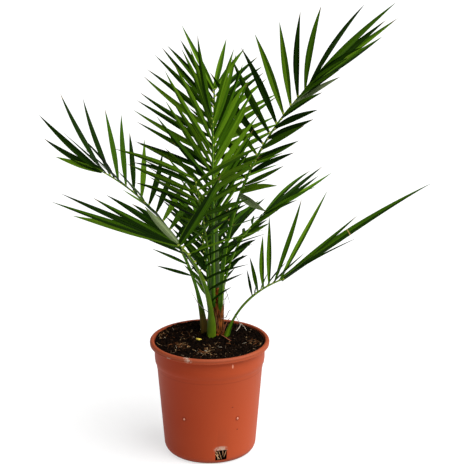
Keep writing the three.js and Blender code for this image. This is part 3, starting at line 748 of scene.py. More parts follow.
def trunk_axis(height):
    share = trunk_share(height)
    return np.array([TRUNK_FOOT[0] + TRUNK_LEAN[0] * share, TRUNK_FOOT[1] + TRUNK_LEAN[1] * share])


def trunk_radius(height):
    """Flared at the compost, tapering upwards, and drawn in under the crown."""
    share = min(1, max(0, trunk_share(height)))
    flare = TRUNK_FLARE * (1 - share) ** 6
    crown = CROWN_TAPER * (max(0, share - CROWN_SHARE) / (1 - CROWN_SHARE)) ** 2
    return TRUNK_RADIUS + flare - TRUNK_TAPER * share - crown


def on_trunk(turn, height, clearance):
    """A point just off the trunk's surface."""
    axis = trunk_axis(height)
    reach = trunk_radius(height) + clearance
    return (axis[0] + reach * math.cos(turn), axis[1] + reach * math.sin(turn), height)


def bark_material(name, first, second):
    """Fibrous bark: upright streaks from one tone to another."""
    material, tree, shader = new_material(name)
    drawn = add_node(tree, "ShaderNodeMapping", {"Vector": object_place(tree), "Scale": (1, 1, 0.12)})
    streaks, fine = mottle(tree, drawn.outputs["Vector"], patch_scale=520, speck_scale=1500,
                           low=0.38, high=0.62)
    colour = blend_colours(tree, streaks, first, second)
    set_surface(tree, shader, colour, roughness=0.8, specular=0.04,
                normal=bump(tree, fine, strength=0.8, distance=0.0012))
    return material


def trunk_core():
    """The woody core with its ring scars, roughened and set on the trunk's leaning axis."""
    foot = SOIL_AT_STEMS - TRUNK_SINK
    levels = []
    for ring in range(RING_SCARS):
        for step, swell in RING_SWELL:
            height = foot + (TRUNK_TOP - foot) * (ring + step) / RING_SCARS
            levels.append((trunk_radius(height) - CORE_INSET + swell, height))
    shape = spin_profile([(0, foot), *levels, (0, TRUNK_TOP)], TRUNK_SEGMENTS)
    for vert in shape.verts:
        knobs = noise.noise(Vector((vert.co.x, vert.co.y, vert.co.z * 0.35)) * 330)
        rough = 1 + CORE_ROUGHNESS * knobs
        axis = trunk_axis(vert.co.z)
        vert.co.x = axis[0] + vert.co.x * rough
        vert.co.y = axis[1] + vert.co.y * rough
    return mesh_of(shape)


def leaf_base(shape, around, foot, height, half_width, flare):
    """An old leaf base: a thin shell that hugs the trunk and narrows to a torn point."""
    made = bmesh.ops.create_grid(shape, x_segments=9, y_segments=12, size=0.5)
    for vert in made["verts"]:
        across = vert.co.x * 2
        share = vert.co.y + 0.5
        ragged = 1 + 0.25 * share * noise.noise(Vector((across * 3, around * 5, share * 2)))
        level = foot + height * share * (1 - 0.35 * across ** 2 * share) * ragged
        turn = around + math.radians(half_width) * across * (1 - 0.8 * share ** 1.6)
        vert.co = on_trunk(turn, level, 0.0004 + flare * share ** 2 + 0.0006 * (1 - across ** 2))
    faces = list({face for vert in made["verts"] for face in vert.link_faces})
    bmesh.ops.solidify(shape, geom=faces, thickness=-LEAF_BASE_THICKNESS)


def leaf_bases():
    """Old leaf bases in a spiral up the trunk."""
    shape = bmesh.new()
    for i in range(LEAF_BASES):
        around = math.radians(i * GOLDEN_TURN + 40)
        foot = SOIL_AT_STEMS - 0.003 + (TRUNK_TOP - SOIL_AT_STEMS - 0.03) * i / LEAF_BASES
        height = rng.uniform(0.024, 0.040)
        leaf_base(shape, around, foot, height, rng.uniform(55, 80), rng.uniform(0.0002, 0.0010))
    bmesh.ops.recalc_face_normals(shape, faces=shape.faces)
    return mesh_of(shape)


def trunk_fibres():
    """Fibres that run up the bark, a few of them standing off it."""
    shape = bmesh.new()
    for _ in range(FIBRE_COUNT):
        around = rng.uniform(0, math.tau)
        foot = rng.uniform(SOIL_AT_STEMS, TRUNK_TOP - 0.012)
        length = rng.uniform(0.012, 0.034)
        stray = 0.012 * rng.uniform() ** 4
        wander = rng.normal(0, 0.18)
        route = [on_trunk(around + wander * step, foot + length * step, 0.0009 + stray * step ** 2)
                 for step in np.linspace(0, 1, FIBRE_RINGS)]
        tube_along(shape, route, FIBRE_RADII, sides=4)
    return mesh_of(shape)


def trunk_hairs():
    shape = bmesh.new()
    for route in HAIR_ROUTES:
        tube_along(shape, route, (0.0006, *[HAIR_RADIUS] * (len(route) - 2), 0.0003), sides=5)
    return mesh_of(shape)


def make_trunk():
    red_bark = bark_material("red_bark", BARK_DARK, BARK_RED)
    trunk = show_piece("trunk_core", trunk_core(), [red_bark], sharp_degrees=60)
    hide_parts("trunk")
    brown_bark = bark_material("brown_bark", (0.030, 0.009, 0.003, 1), (0.33, 0.095, 0.018, 1))
    piece = show_piece("trunk_leaf_bases", leaf_bases(), [brown_bark], sharp_degrees=50)
    pale_bark = bark_material("pale_bark_fibre", (0.16, 0.08, 0.04, 1), FIBRE_PALE)
    piece = show_piece("trunk_fibres", trunk_fibres(), [pale_bark], sharp_degrees=60)
    grey_hair = compost_material("grey_hair", (0.20, 0.17, 0.16, 1), (0.34, 0.30, 0.29, 1), 400)
    piece = show_piece("trunk_hairs", trunk_hairs(), [grey_hair], sharp_degrees=60)


make_trunk()

# Fronds: stiff feather leaves. Each rib springs from the trunk or the compost and carries leaflets
# folded lengthwise into a V, with the last ones joined into a fan where the blade hasn't split yet.

# Sizes are metres and degrees. `around` and `height` seat the foot on the trunk, `heading` is where
# it sets out to and `swing` how far it turns, and `rise` its slope at foot and tip. `stem` is the
# rib's width at its foot and above the clasping base. Leaflets stand in `pairs` from the share
# `bare` of the rib: `leaf` is their length at first, middle and last, `open` their angle to the rib,
# `lift` how far they stand up, `skew` and `sides` the difference between right and left. A fan is
# (count, turn, spread, tilt, face, lengths, width, step), and its fraction of the rib if it isn't
# at the end. `tones` weighs dark, middle and fresh green.
# The dark green that `tones` weighs is partly painted shade deep in the crown.
FRONDS = [
    dict(name="frond_high_right", seed=11, around=-70, height=0.236, heading=41, swing=-44, rise=(89, 45.5),
         rib=0.388, stem=(0.0085, 0.0065), bare=0.48, pairs=11, leaf=(0.143, 0.149, 0.157), width=0.0125,
         open=(62, 52, 24), skew=-11, sides=(1, 0.7), lift=21, roll=-35, twist=(-5, 15), droop=7,
         fans=[(4, -8, 30, 60, -50, (0.172, 0.193), 0.0115, 0.14),
               (1, 37, 0, 60, -50, (0.200, 0.200), 0.009, 0),
               (1, 61, 0, 20, 0, (0.085, 0.085), 0.011, 0, 0.485),
               (1, 89, 0, 22, 0, (0.074, 0.074), 0.013, 0, 0.475)],
         tones=(6, 3, 1)),
    dict(name="frond_low_left", seed=13, around=174, height=SOIL_AT_STEMS, heading=114, swing=77,
         rise=(75.5, 30.5), rib=0.328, stem=(0.014, 0.0065), bare=0.29, pairs=14, leaf=(0.106, 0.108, 0.165),
         width=0.0105, open=(75, 65, 48), skew=2.5, sides=(1, 1), lift=24, roll=5, twist=(0, -8), droop=-2,
         fans=[(3, 1, 25, 90, 0, (0.078, 0.135), 0.011, 0)], tones=(7, 2, 1)),
    dict(name="frond_low_right", seed=15, around=-30, height=SOIL_AT_STEMS, heading=-15, swing=26,
         rise=(77, 16), rib=0.138, stem=(0.015, 0.006), bare=0.59, pairs=6, leaf=(0.052, 0.118, 0.212),
         width=0.010, open=(68, 57, 30), skew=-6, sides=(1, 0.7), lift=42, roll=0, twist=(-15, 40), droop=1,
         fans=[(1, 23.5, 0, 90, 0, (0.160, 0.160), 0.0085, 0), (1, 15.5, 0, 90, 0, (0.286, 0.286), 0.013, 0)],
         tones=(3, 5, 2)),
    dict(name="frond_low_front", seed=14, around=234, height=SOIL_AT_STEMS, heading=206.5, swing=10,
         rise=(96.5, 44.5), rib=0.182, stem=(0.020, 0.009), bare=0.315, pairs=7, leaf=(0.056, 0.129, 0.185),
         width=0.010, open=(47, 71, 83), skew=-6, sides=(1, 0.64), lift=19, roll=-20, twist=(40, 25), droop=6,
         fans=[(6, 10, 37, -14, 30, (0.100, 0.214), 0.0115, -0.1),
               (1, 34, 0, -14, 30, (0.174, 0.174), 0.016, 0),
               (1, -62, 0, -30, 0, (0.147, 0.147), 0.017, 0),
               (1, -56, 0, -22, 0, (0.182, 0.182), 0.013, 0)],
         tones=(5, 4, 1)),
    dict(name="frond_back_right", seed=16, around=62, height=0.222, heading=58, swing=-17, rise=(84.5, 20),
         rib=0.183, stem=(0.0065, 0.005), bare=0.33, pairs=6, leaf=(0.046, 0.064, 0.102), width=0.0085,
         open=(70, 55, 36), skew=-6.5, sides=(1, 1), lift=-5, roll=25, twist=(0, 20), droop=5,
         fans=[(4, -4.5, 10, -60, 0, (0.162, 0.166), 0.0085, 0.14)], tones=(2, 5, 3)),
    dict(name="frond_upright_back", seed=12, around=112, height=0.236, heading=92.5, swing=-2.5,
         rise=(78, 63.5), rib=0.347, stem=(0.008, 0.006), bare=0.46, pairs=14, leaf=(0.120, 0.150, 0.106),
         width=0.010, open=(66, 60, 34.5), skew=2, sides=(1, 0.88), lift=-7, roll=-10, twist=(-25, 25),
         droop=0, fans=[(2, -7, 40, 0, 0, (0.119, 0.090), 0.0095, 0)], tones=(0, 5, 5)),
    dict(name="frond_upright_front", seed=17, around=232, height=0.240, heading=276, swing=0, rise=(87, 91),
         rib=0.300, stem=(0.008, 0.006), bare=0.38, pairs=14, leaf=(0.100, 0.145, 0.137), width=0.0095,
         open=(45, 40, 13), skew=2, sides=(0.88, 1), lift=36, roll=10, twist=(-25, 25), droop=5,
         fans=[], tones=(0, 3, 7)),
    dict(name="frond_middle_left", seed=18, around=185, height=0.226, heading=196, swing=35, rise=(91.5, 72),
         rib=0.224, stem=(0.008, 0.006), bare=0.5, pairs=8, leaf=(0.100, 0.140, 0.165), width=0.0095,
         open=(80, 72, 70), skew=10.5, sides=(1, 1), lift=5, roll=0, twist=(-25, 25), droop=4, fans=[],
         tones=(0, 3, 7)),
    dict(name="frond_back_left", seed=19, around=150, height=0.208, heading=100, swing=0, rise=(78, 10),
         rib=0.195, stem=(0.0065, 0.005), bare=0.3, pairs=9, leaf=(0.050, 0.105, 0.115), width=0.010,
         open=(45, 33, 22), skew=0, sides=(1, 1), lift=15, roll=0, twist=(-25, 25), droop=5,
         fans=[(3, 0, 24, 0, 0, (0.125, 0.125), 0.011, 0.14)], tones=(7, 3, 0)),
    dict(name="frond_back_middle", seed=20, around=84, height=0.204, heading=84, swing=-3, rise=(72, 6),
         rib=0.200, stem=(0.0065, 0.005), bare=0.3, pairs=9, leaf=(0.050, 0.100, 0.110), width=0.010,
         open=(45, 33, 22), skew=0, sides=(1, 1), lift=15, roll=0, twist=(-25, 25), droop=5,
         fans=[(3, 0, 24, 0, 0, (0.125, 0.125), 0.011, 0.14)], tones=(7, 3, 0)),
    dict(name="frond_back_low", seed=21, around=104, height=SOIL_AT_STEMS, heading=94, swing=-4,
         rise=(70, -5), rib=0.170, stem=(0.010, 0.005), bare=0.35, pairs=7, leaf=(0.045, 0.080, 0.100),
         width=0.010, open=(45, 33, 22), skew=0, sides=(1, 1), lift=15, roll=0, twist=(-25, 25), droop=5,
         fans=[(3, 0, 24, 0, 0, (0.125, 0.125), 0.011, 0.14)], tones=(7, 3, 0)),
]
SEAT_GAP = 0.0003
LEAF_GAP = 0.0004
RIB_STEPS = 24
RIB_RINGS = 12
PETIOLE_SHARE = 0.22
RIB_TIP_WIDTH = 0.0024
RIB_DEPTH_SHARE = 0.62
UPPER_DEPTH_SHARE = 0.9
RIB_STATIONS = 44
SEAT_PASSES = 8
LOOSE_DEGREES = 8
LOOSE_LIFT = 12
LOOSE_LENGTH = 0.14
LEAF_STATIONS = (0, 0.22, 0.7, 1)
LEAF_FULNESS = (0, 0.95, 0.78, 0)
LEAF_THICKNESS_SHARE = 0.0125
THINNEST_LEAF = 0.0013
FAN_ROOT = 0.004
LAST_PAIR = 0.985
NEAREST_WIDTH_SHARE = 0.6
SPEAR_LENGTH = 0.285
SPEAR_WIDTH = 0.007
SPEAR_DEPTH = 0.0045
SPEAR_LEAN = (-0.007, 0)
# What a leaflet that would touch another frond tries next: degrees more opening and lift, and its
# share of the full length.
TRIES = [
    (0, 0, 1), (5, 0, 1), (-5, 0, 1), (0, 8, 1), (0, -8, 1), (8, 8, 1), (-8, 8, 1), (8, -8, 1),
    (-8, -8, 1), (0, 16, 1), (0, -16, 1), (0, 0, 0.8), (6, 8, 0.8), (-6, -8, 0.8), (0, 16, 0.8),
    (0, 0, 0.6), (0, 14, 0.6), (0, -14, 0.6), (0, 0, 0.42),
]


def lerp(first, last, share):
    return first + (last - first) * share


def unit(vector):
    return vector / np.linalg.norm(vector)


def turned(first, second, degrees):
    """first turned towards second, which is square to it."""
    angle = math.radians(degrees)
    return first * math.cos(angle) + second * math.sin(angle)


def seeded_draw(seed):
    """Repeatable random numbers from 0 to 1, from 32-bit sums."""
    state = seed
    word = 0xFFFFFFFF

    def draw():
        nonlocal state
        state = (state + 0x6D2B79F5) & word
        mixed = ((state ^ (state >> 15)) * (state | 1)) & word
        mixed ^= (mixed + (((mixed ^ (mixed >> 7)) * (mixed | 61)) & word)) & word
        return (mixed ^ (mixed >> 14)) / 4294967296

    return draw


def rib_width(frond, share):
    """Broad at the foot, narrower above the clasping base and thin at the tip."""
    first, last = frond["stem"]
    if share < PETIOLE_SHARE:
        return lerp(first, last, share / PETIOLE_SHARE)
    return lerp(last, RIB_TIP_WIDTH, (share - PETIOLE_SHARE) / (1 - PETIOLE_SHARE))


def seat_of(frond):
    """The middle of a rib's foot, 0.3 mm clear of the trunk or standing in the compost."""
    height = frond["height"] + SEAT_GAP
    radius = trunk_radius(height)
    turn = math.radians(frond["around"] - frond["heading"] + frond["roll"])
    half_width = frond["stem"][0] / 2
    half_depth = half_width * RIB_DEPTH_SHARE
    reach = radius + SEAT_GAP + half_width
    for _ in range(SEAT_PASSES):
        past_width = max(0, reach * abs(math.sin(turn)) - half_width)
        past_depth = max(0, reach * abs(math.cos(turn)) - half_depth)
        reach -= math.hypot(past_width, past_depth) - radius - SEAT_GAP
    around = math.radians(frond["around"])
    axis = trunk_axis(height)
    return np.array([axis[0] + reach * math.cos(around), axis[1] + reach * math.sin(around), height])


def slope_at(frond, share):
    """The rib's direction at a share of its length."""
    heading = math.radians(frond["heading"] + frond["swing"] * share)
    rise = math.radians(lerp(*frond["rise"], share))
    level = math.cos(rise)
    return np.array([math.cos(heading) * level, math.sin(heading) * level, math.sin(rise)])


def rib_curve(frond):
    """Points along the middle of a rib, by equal steps from its foot."""
    points = [seat_of(frond)]
    for i in range(RIB_STEPS):
        points.append(points[i] + slope_at(frond, (i + 0.5) / RIB_STEPS) * frond["rib"] / RIB_STEPS)
    return points


def station_on(frond, curve, share):
    """A point on the rib and its directions: along, right and up."""
    place = min(1, max(0, share)) * RIB_STEPS
    step = min(int(place), RIB_STEPS - 1)
    point = lerp(curve[step], curve[step + 1], place - step)
    along = slope_at(frond, share)
    heading = math.radians(frond["heading"] + frond["swing"] * share)
    up = unit(np.cross((math.sin(heading), -math.cos(heading), 0), along))
    right = np.cross(along, up)
    return point, along, turned(right, up, frond["roll"]), turned(up, -right, frond["roll"])


def three_way(values, share):
    """A curve through three values, at the start, the middle and the end."""
    first, middle, last = values
    return (first * (1 - share) * (1 - 2 * share) + middle * 4 * share * (1 - share)
            + last * share * (2 * share - 1))


def leaflets_of(frond, curve):
    """Every leaflet of a frond in the order it is grown."""
    draw = seeded_draw(frond["seed"])
    leaflets = []
    for i in range(frond["pairs"]):
        for side in (-1, 1):
            share = (i + (0.5 if side > 0 else 0)) / (frond["pairs"] - 0.5)
            place = lerp(frond["bare"], LAST_PAIR, share * (1.15 - 0.15 * share))
            opening = three_way(frond["open"], share) + side * frond["skew"] + (draw() - 0.5) * LOOSE_DEGREES
            lift = frond["lift"] + (draw() - 0.5) * LOOSE_LIFT
            length = three_way(frond["leaf"], share) * (1 + (draw() - 0.5) * LOOSE_LENGTH)
            length *= frond["sides"][side > 0]
            width = frond["width"] * lerp(NEAREST_WIDTH_SHARE, 1, min(1, share * 3))
            leaflets.append(dict(station=station_on(frond, curve, place), side=side, open=opening, lift=lift,
                                 length=length, width=width, twist=frond["twist"][side > 0], fan=False))
    for count, turn, spread, tilt, face, lengths, width, step, *place in frond["fans"]:
        point, along, right, up = station_on(frond, curve, place[0] if place else 1)
        root = (point - along * FAN_ROOT, along, right, up)
        for j in range(count):
            share = j / (count - 1) if count > 1 else 0.5
            angle = turn + spread * (share - 0.5)
            side = -1 if angle < 0 else 1
            length = lerp(*lengths, share) * (1 - step if j % 2 == 0 else 1)
            leaflets.append(dict(station=root, side=side, open=abs(angle), lift=tilt * side, length=length,
                                 width=width, twist=face, fan=True))
    return leaflets


def blade_frame(leaflet):
    """Directions of a leaflet: along it, across its blade and through its blade."""
    _, rib_along, right, up = leaflet["station"]
    outward = turned(right * leaflet["side"], up, leaflet["lift"])
    along = unit(turned(rib_along, outward, leaflet["open"]))
    across = unit(turned(-outward, rib_along, leaflet["open"]))
    across = turned(across, np.cross(along, across), leaflet["twist"])
    return along, across, np.cross(along, across)


def blade_point(frond, leaflet, along, share):
    """A point on the middle of a blade, which droops towards its tip."""
    sag = frond["droop"] * leaflet["length"] / 100 * share * share
    return leaflet["station"][0] + along * leaflet["length"] * share - np.array([0, 0, sag])


def make_box(start, end, across, through, half_width, half_depth):
    """A box from one point to another, as its centre, directions and half sizes."""
    along = end - start
    half_length = np.linalg.norm(along) / 2
    halves = np.array([half_length, half_width, half_depth])
    return (start + end) / 2, np.array([along / (2 * half_length), across, through]), halves


def leaflet_boxes(frond, leaflet):
    """The room that a leaflet takes, as three boxes."""
    along, across, through = blade_frame(leaflet)
    thickness = max(THINNEST_LEAF, leaflet["length"] * LEAF_THICKNESS_SHARE)
    boxes = []
    for i in range(3):
        start = blade_point(frond, leaflet, along, LEAF_STATIONS[i])
        end = blade_point(frond, leaflet, along, LEAF_STATIONS[i + 1])
        half_width = leaflet["width"] / 2 * max(LEAF_FULNESS[i:i + 2]) + LEAF_GAP
        boxes.append(make_box(start, end, across, through, half_width, thickness / 2 + LEAF_GAP))
    return boxes


def rib_boxes(frond, curve):
    """The room that a rib takes."""
    boxes = []
    for i in range(RIB_RINGS):
        start, _, right, up = station_on(frond, curve, i / RIB_RINGS)
        end = station_on(frond, curve, (i + 1) / RIB_RINGS)[0]
        half_width = rib_width(frond, i / RIB_RINGS) / 2
        half_depth = half_width * RIB_DEPTH_SHARE
        boxes.append(make_box(start, end, right, up, half_width + LEAF_GAP, half_depth + LEAF_GAP))
    return boxes


def middle_boxes():
    """The trunk and the folded leaf above it, which leaflets keep clear of."""
    east, north = np.eye(3)[:2]
    foot = np.array([*TRUNK_FOOT, SOIL_AT_STEMS])
    top = np.array([*trunk_axis(TRUNK_TOP), TRUNK_TOP])
    tip = top + (*SPEAR_LEAN, SPEAR_LENGTH)
    trunk_half = TRUNK_RADIUS + 0.001
    return [make_box(foot, top, east, north, trunk_half, trunk_half),
            make_box(top, tip, east, north, SPEAR_WIDTH / 2 + LEAF_GAP, SPEAR_DEPTH / 2 + LEAF_GAP)]


def meets_any(box, others):
    """Separating-axis test of one box against many."""
    centre, axes, halves = box
    centres, all_axes, all_halves, radii = others
    offset = centres - centre
    near = np.linalg.norm(offset, axis=1) <= np.linalg.norm(halves) + radii
    for gap, their_axes, their_halves in zip(offset[near], all_axes[near], all_halves[near]):
        crossed = np.cross(axes[:, None], their_axes[None]).reshape(9, 3)
        sizes = np.linalg.norm(crossed, axis=1)
        crossed = crossed[sizes ** 2 > 1e-6] / sizes[sizes ** 2 > 1e-6, None]
        directions = np.concatenate([axes, their_axes, crossed])
        reach = np.abs(directions @ axes.T) @ halves + np.abs(directions @ their_axes.T) @ their_halves
        if np.all(np.abs(directions @ gap) <= reach):
            return True
    return False


def stacked(boxes):
    """Boxes as arrays, with the radius of the ball round each."""
    centres, axes, halves = (np.array([box[i] for box in boxes]) for i in range(3))
    return centres, axes, halves, np.linalg.norm(halves, axis=1)


def grow_crown():
    """Grows the fronds one after another. A leaflet that would touch a rib, the trunk or another
    frond's leaflet is opened, lifted or shortened, and left out if nothing helps."""
    curves = [rib_curve(frond) for frond in FRONDS]
    ribs = [rib_boxes(frond, curve) for frond, curve in zip(FRONDS, curves)]
    taken = []
    crown = []
    for i, frond in enumerate(FRONDS):
        others = stacked(middle_boxes() + sum(ribs[:i] + ribs[i + 1:], []) + taken)
        kept = []
        mine = []
        for leaflet in leaflets_of(frond, curves[i]):
            for opening, lift, size in TRIES:
                tried = dict(leaflet, open=leaflet["open"] + opening, lift=leaflet["lift"] + lift,
                             length=leaflet["length"] * size)
                boxes = leaflet_boxes(frond, tried)
                if not any(meets_any(box, others) for box in boxes):
                    kept.append(tried)
                    mine += boxes
                    break
        taken += mine
        crown.append((frond, curves[i], kept))
    return crown


BLADE_STEPS = 12
WIDEST = 0.4
FOLD_DEGREES = (26, 18, 8)
BLADE_THICKNESS = 0.0007
# How far blades differ: sideways bow and nod as shares of the length, curl in degrees, and fold.
LOOSE_BOW = 0.05
LOOSE_NOD = 0.04
LOOSE_CURL = 30
LOOSE_FOLD = 0.5
DRY_TIP_FROM = 0.972
LOOSE_DRY_TIP = 0.02
BLADE_SEED = 500
# Shares of blades with one half a step darker as painted shade across the fold, and of those whose left half
# it is.
SHADED_SHARE = 0.75
LEFT_SHADED_SHARE = 0.6
LEAF_ROUGHNESS = 0.52
UNDERSIDE_ROUGHNESS = 0.6
# The darkest green is partly the blades' own dark tone and partly painted shade, made deeper than the leaf
# for the shade deep in the crown.
LEAF_TONES = {
    "leaf_dark_and_shade": ((0.0016, 0.009, 0.0001, 1), (0.011, 0.034, 0.0006, 1)),
    "leaf_mid": ((0.020, 0.060, 0.0012, 1), (0.038, 0.095, 0.0020, 1)),
    "leaf_fresh": ((0.052, 0.125, 0.0030, 1), (0.090, 0.175, 0.0055, 1)),
    "leaf_under": ((0.09, 0.135, 0.045, 1), (0.22, 0.27, 0.13, 1)),
    "leaf_tip": ((0.07, 0.055, 0.012, 1), (0.15, 0.11, 0.03, 1)),
    "leaf_crack": ((0.20, 0.14, 0.04, 1), (0.36, 0.26, 0.10, 1)),
}
DARK_AND_SHADE, MID, FRESH, UNDER, TIP, CRACK = range(len(LEAF_TONES))
# Greens of single blades, by their number in the order that the frond grows them.
BLADE_TONES = {
    "frond_high_right": {15: UNDER, 22: MID, 23: FRESH, 25: MID, 26: DARK_AND_SHADE, 27: FRESH, 28: UNDER},
    "frond_low_front": {14: UNDER, 18: DARK_AND_SHADE, 19: MID, 20: FRESH, 21: FRESH, 22: MID},
    "frond_low_right": {10: FRESH, 13: MID},
}
# One blade is cracked across, between two shares of its length.
CRACKED_BLADE = ("frond_low_right", 13)
CRACK_SHARES = (0.4590, 0.4655)
RIB_GREEN = (0.022, 0.078, 0.0015, 1)
RIB_YELLOW = (0.100, 0.180, 0.006, 1)
RIB_BROWN = (0.090, 0.042, 0.008, 1)
OLD_FOOT = (-0.012, 0.028, 0.186)
OLD_FOOT_SIZE = (0.020, 0.022, 0.055)
# One stem is stouter than its solid: shares of the rib, and how many times its width there.
STOUT_STEM = "frond_low_front"
STOUTNESS = ((0, 0.07, 0.16, 0.25, 0.50, 1), (0.80, 1.08, 1.38, 1.40, 1.35, 1.2))
STOUT_JOINTS = 1.5
JOINT_COLOURS = ((0.26, 0.34, 0.045, 1), (0.40, 0.44, 0.08, 1))
JOINT_SHAPE = (0.55, 0.36, 0.30)
JOINT_REACH = 0.002
# The rib's outline: shares of half its width and half its depth, the channel first.
SECTION = ((-1, 0.1), (-0.78, 0.85), (-0.35, 0.55), (0, 0.45), (0.35, 0.55), (0.78, 0.85), (1, 0.1),
           (0.66, -0.62), (0, -1), (-0.66, -0.62))
LEFT_EDGE = 0
RIGHT_EDGE = 6
# How a rib's foot is tucked away: a share of the way to the trunk's axis and a drop, or a drop
# into the compost.
TRUNK_TUCK = 0.35
TRUNK_DROP = np.array([0, 0, 0.013])
SOIL_DROP = np.array([0, 0, 0.0035])


def leaf_material(name, first, second):
    """A waxy blade with veins along it, which differ from blade to blade."""
    material, tree, shader = new_material(name)
    place = add_node(tree, "ShaderNodeUVMap", uv_map="blade").outputs["UV"]
    drawn = add_node(tree, "ShaderNodeMapping", {"Vector": place, "Scale": (1.4, 11, 1)})
    loose = add_node(tree, "ShaderNodeVectorMath", {0: object_place(tree), 1: (7, 7, 7)},
                     operation="MULTIPLY")
    shifted = add_node(tree, "ShaderNodeVectorMath", {0: drawn.outputs["Vector"], 1: loose.outputs[0]},
                       operation="ADD")
    veins, fine = mottle(tree, shifted.outputs[0], patch_scale=1.0, speck_scale=6.0, low=0.36, high=0.64)
    colour = blend_colours(tree, veins, first, second)
    roughness = UNDERSIDE_ROUGHNESS if name == "leaf_under" else LEAF_ROUGHNESS
    set_surface(tree, shader, colour, roughness=roughness, specular=0.02,
                normal=bump(tree, fine, strength=0.35, distance=0.0005))
    return material


def fulness(share, fan):
    """A blade's width along its length, as a share of the widest."""
    if share < WIDEST:
        narrow = 0.6 if fan else 0.30
        return narrow + (1 - narrow) * math.sin(math.pi / 2 * share / WIDEST)
    return max(0.012, 1 - ((share - WIDEST) / (1 - WIDEST)) ** 1.6)


def blade_pattern(extra=()):
    """One blade in its own measure: each corner's share of the length, side and face, and the faces."""
    bar = bmesh.new()
    shares = sorted([(i / BLADE_STEPS) ** 0.92 for i in range(BLADE_STEPS + 1)] + list(extra))
    sweep(bar, [[(share, -1, 0), (share, 0, -1), (share, 1, 0), (share, 0, 1)] for share in shares])
    corners = np.array([vert.co for vert in bar.verts])
    faces = [[vert.index for vert in face.verts] for face in bar.faces]
    bar.free()
    return corners, faces


def blade(frond, leaflet, draw, pattern):
    """The corners of a folded blade: bowed and curled a little, no two alike."""
    along, across, _ = blade_frame(leaflet)
    across = across * leaflet["side"]
    bow = (draw() - 0.5) * LOOSE_BOW * leaflet["length"]
    nod = (draw() - 0.3) * LOOSE_NOD * leaflet["length"]
    curl = (draw() - 0.5) * LOOSE_CURL
    loose_fold = 1 + (draw() - 0.5) * LOOSE_FOLD
    corners = []
    for share, sideways, face in pattern:
        arch = 4 * share * (1 - share)
        side_way = turned(across, np.cross(along, across), curl * (share - 0.3))
        fold_way = np.cross(along, side_way)
        middle = blade_point(frond, leaflet, along, share) + across * bow * arch + fold_way * nod * arch
        half = leaflet["width"] / 2 * fulness(share, leaflet["fan"])
        fold = math.radians(three_way(FOLD_DEGREES, share) * loose_fold)
        thick = BLADE_THICKNESS / 2 * (1 - 0.7 * share)
        corners.append(middle + side_way * half * math.cos(fold) * sideways
                       + fold_way * (half * math.sin(fold) * abs(sideways) + thick * face))
    return np.array(corners)


leaf_materials = [leaf_material(name, *tones) for name, tones in LEAF_TONES.items()]


def blades_mesh(frond, leaflets):
    """All blades of a frond as one mesh. Each half of a blade takes one of three greens, and often one
    half is a step darker as painted shade across the fold; but a blade that shows its underside is
    pale all over. The tips are dry."""
    draw = seeded_draw(frond["seed"] + BLADE_SEED)
    chosen = BLADE_TONES.get(frond["name"], {})
    weights = np.cumsum(frond["tones"]) / sum(frond["tones"])
    copies = []
    slots = []
    places = []
    for number, leaflet in enumerate(leaflets):
        crack = CRACK_SHARES if (frond["name"], number) == CRACKED_BLADE else ()
        pattern, pattern_faces = blade_pattern(crack)
        copies.append((blade(frond, leaflet, draw, pattern), pattern_faces))
        places.append(np.column_stack((pattern[:, 0], 0.5 + 0.5 * pattern[:, 1])))
        tone = chosen.get(number, int(np.searchsorted(weights, draw())))
        # painted shade: one half of the fold a step darker
        shaded = max(DARK_AND_SHADE, tone - 1) if draw() < SHADED_SHARE else tone
        halves = (shaded, tone) if draw() < LEFT_SHADED_SHARE else (tone, shaded)
        halves = (UNDER, UNDER) if tone == UNDER else halves
        dry_from = DRY_TIP_FROM - LOOSE_DRY_TIP * draw()
        for share, sideways, _ in (pattern[face].mean(axis=0) for face in pattern_faces):
            if crack and crack[0] < share < crack[1]:
                slots.append(CRACK)
            else:
                slots.append(TIP if share > dry_from else halves[int(sideways > 0)])
    mesh = joined_copies(copies)
    mesh.polygons.foreach_set("material_index", slots)
    layer = mesh.uv_layers.new(name="blade")
    corner_of = np.zeros(len(mesh.loops), np.int32)
    mesh.loops.foreach_get("vertex_index", corner_of)
    layer.data.foreach_set("uv", np.concatenate(places)[corner_of].ravel())
    return mesh


def rib_foot(frond, point, width, depth):
    """The rib's first ring, drawn out of sight: into the trunk, or down into the compost."""
    if frond["height"] > SOIL_AT_STEMS:
        inward = np.array([*trunk_axis(point[2]), 0]) - np.array([*point[:2], 0])
        return point + inward * TRUNK_TUCK - TRUNK_DROP, width * 0.4, depth * 0.3
    return point - SOIL_DROP, width, depth


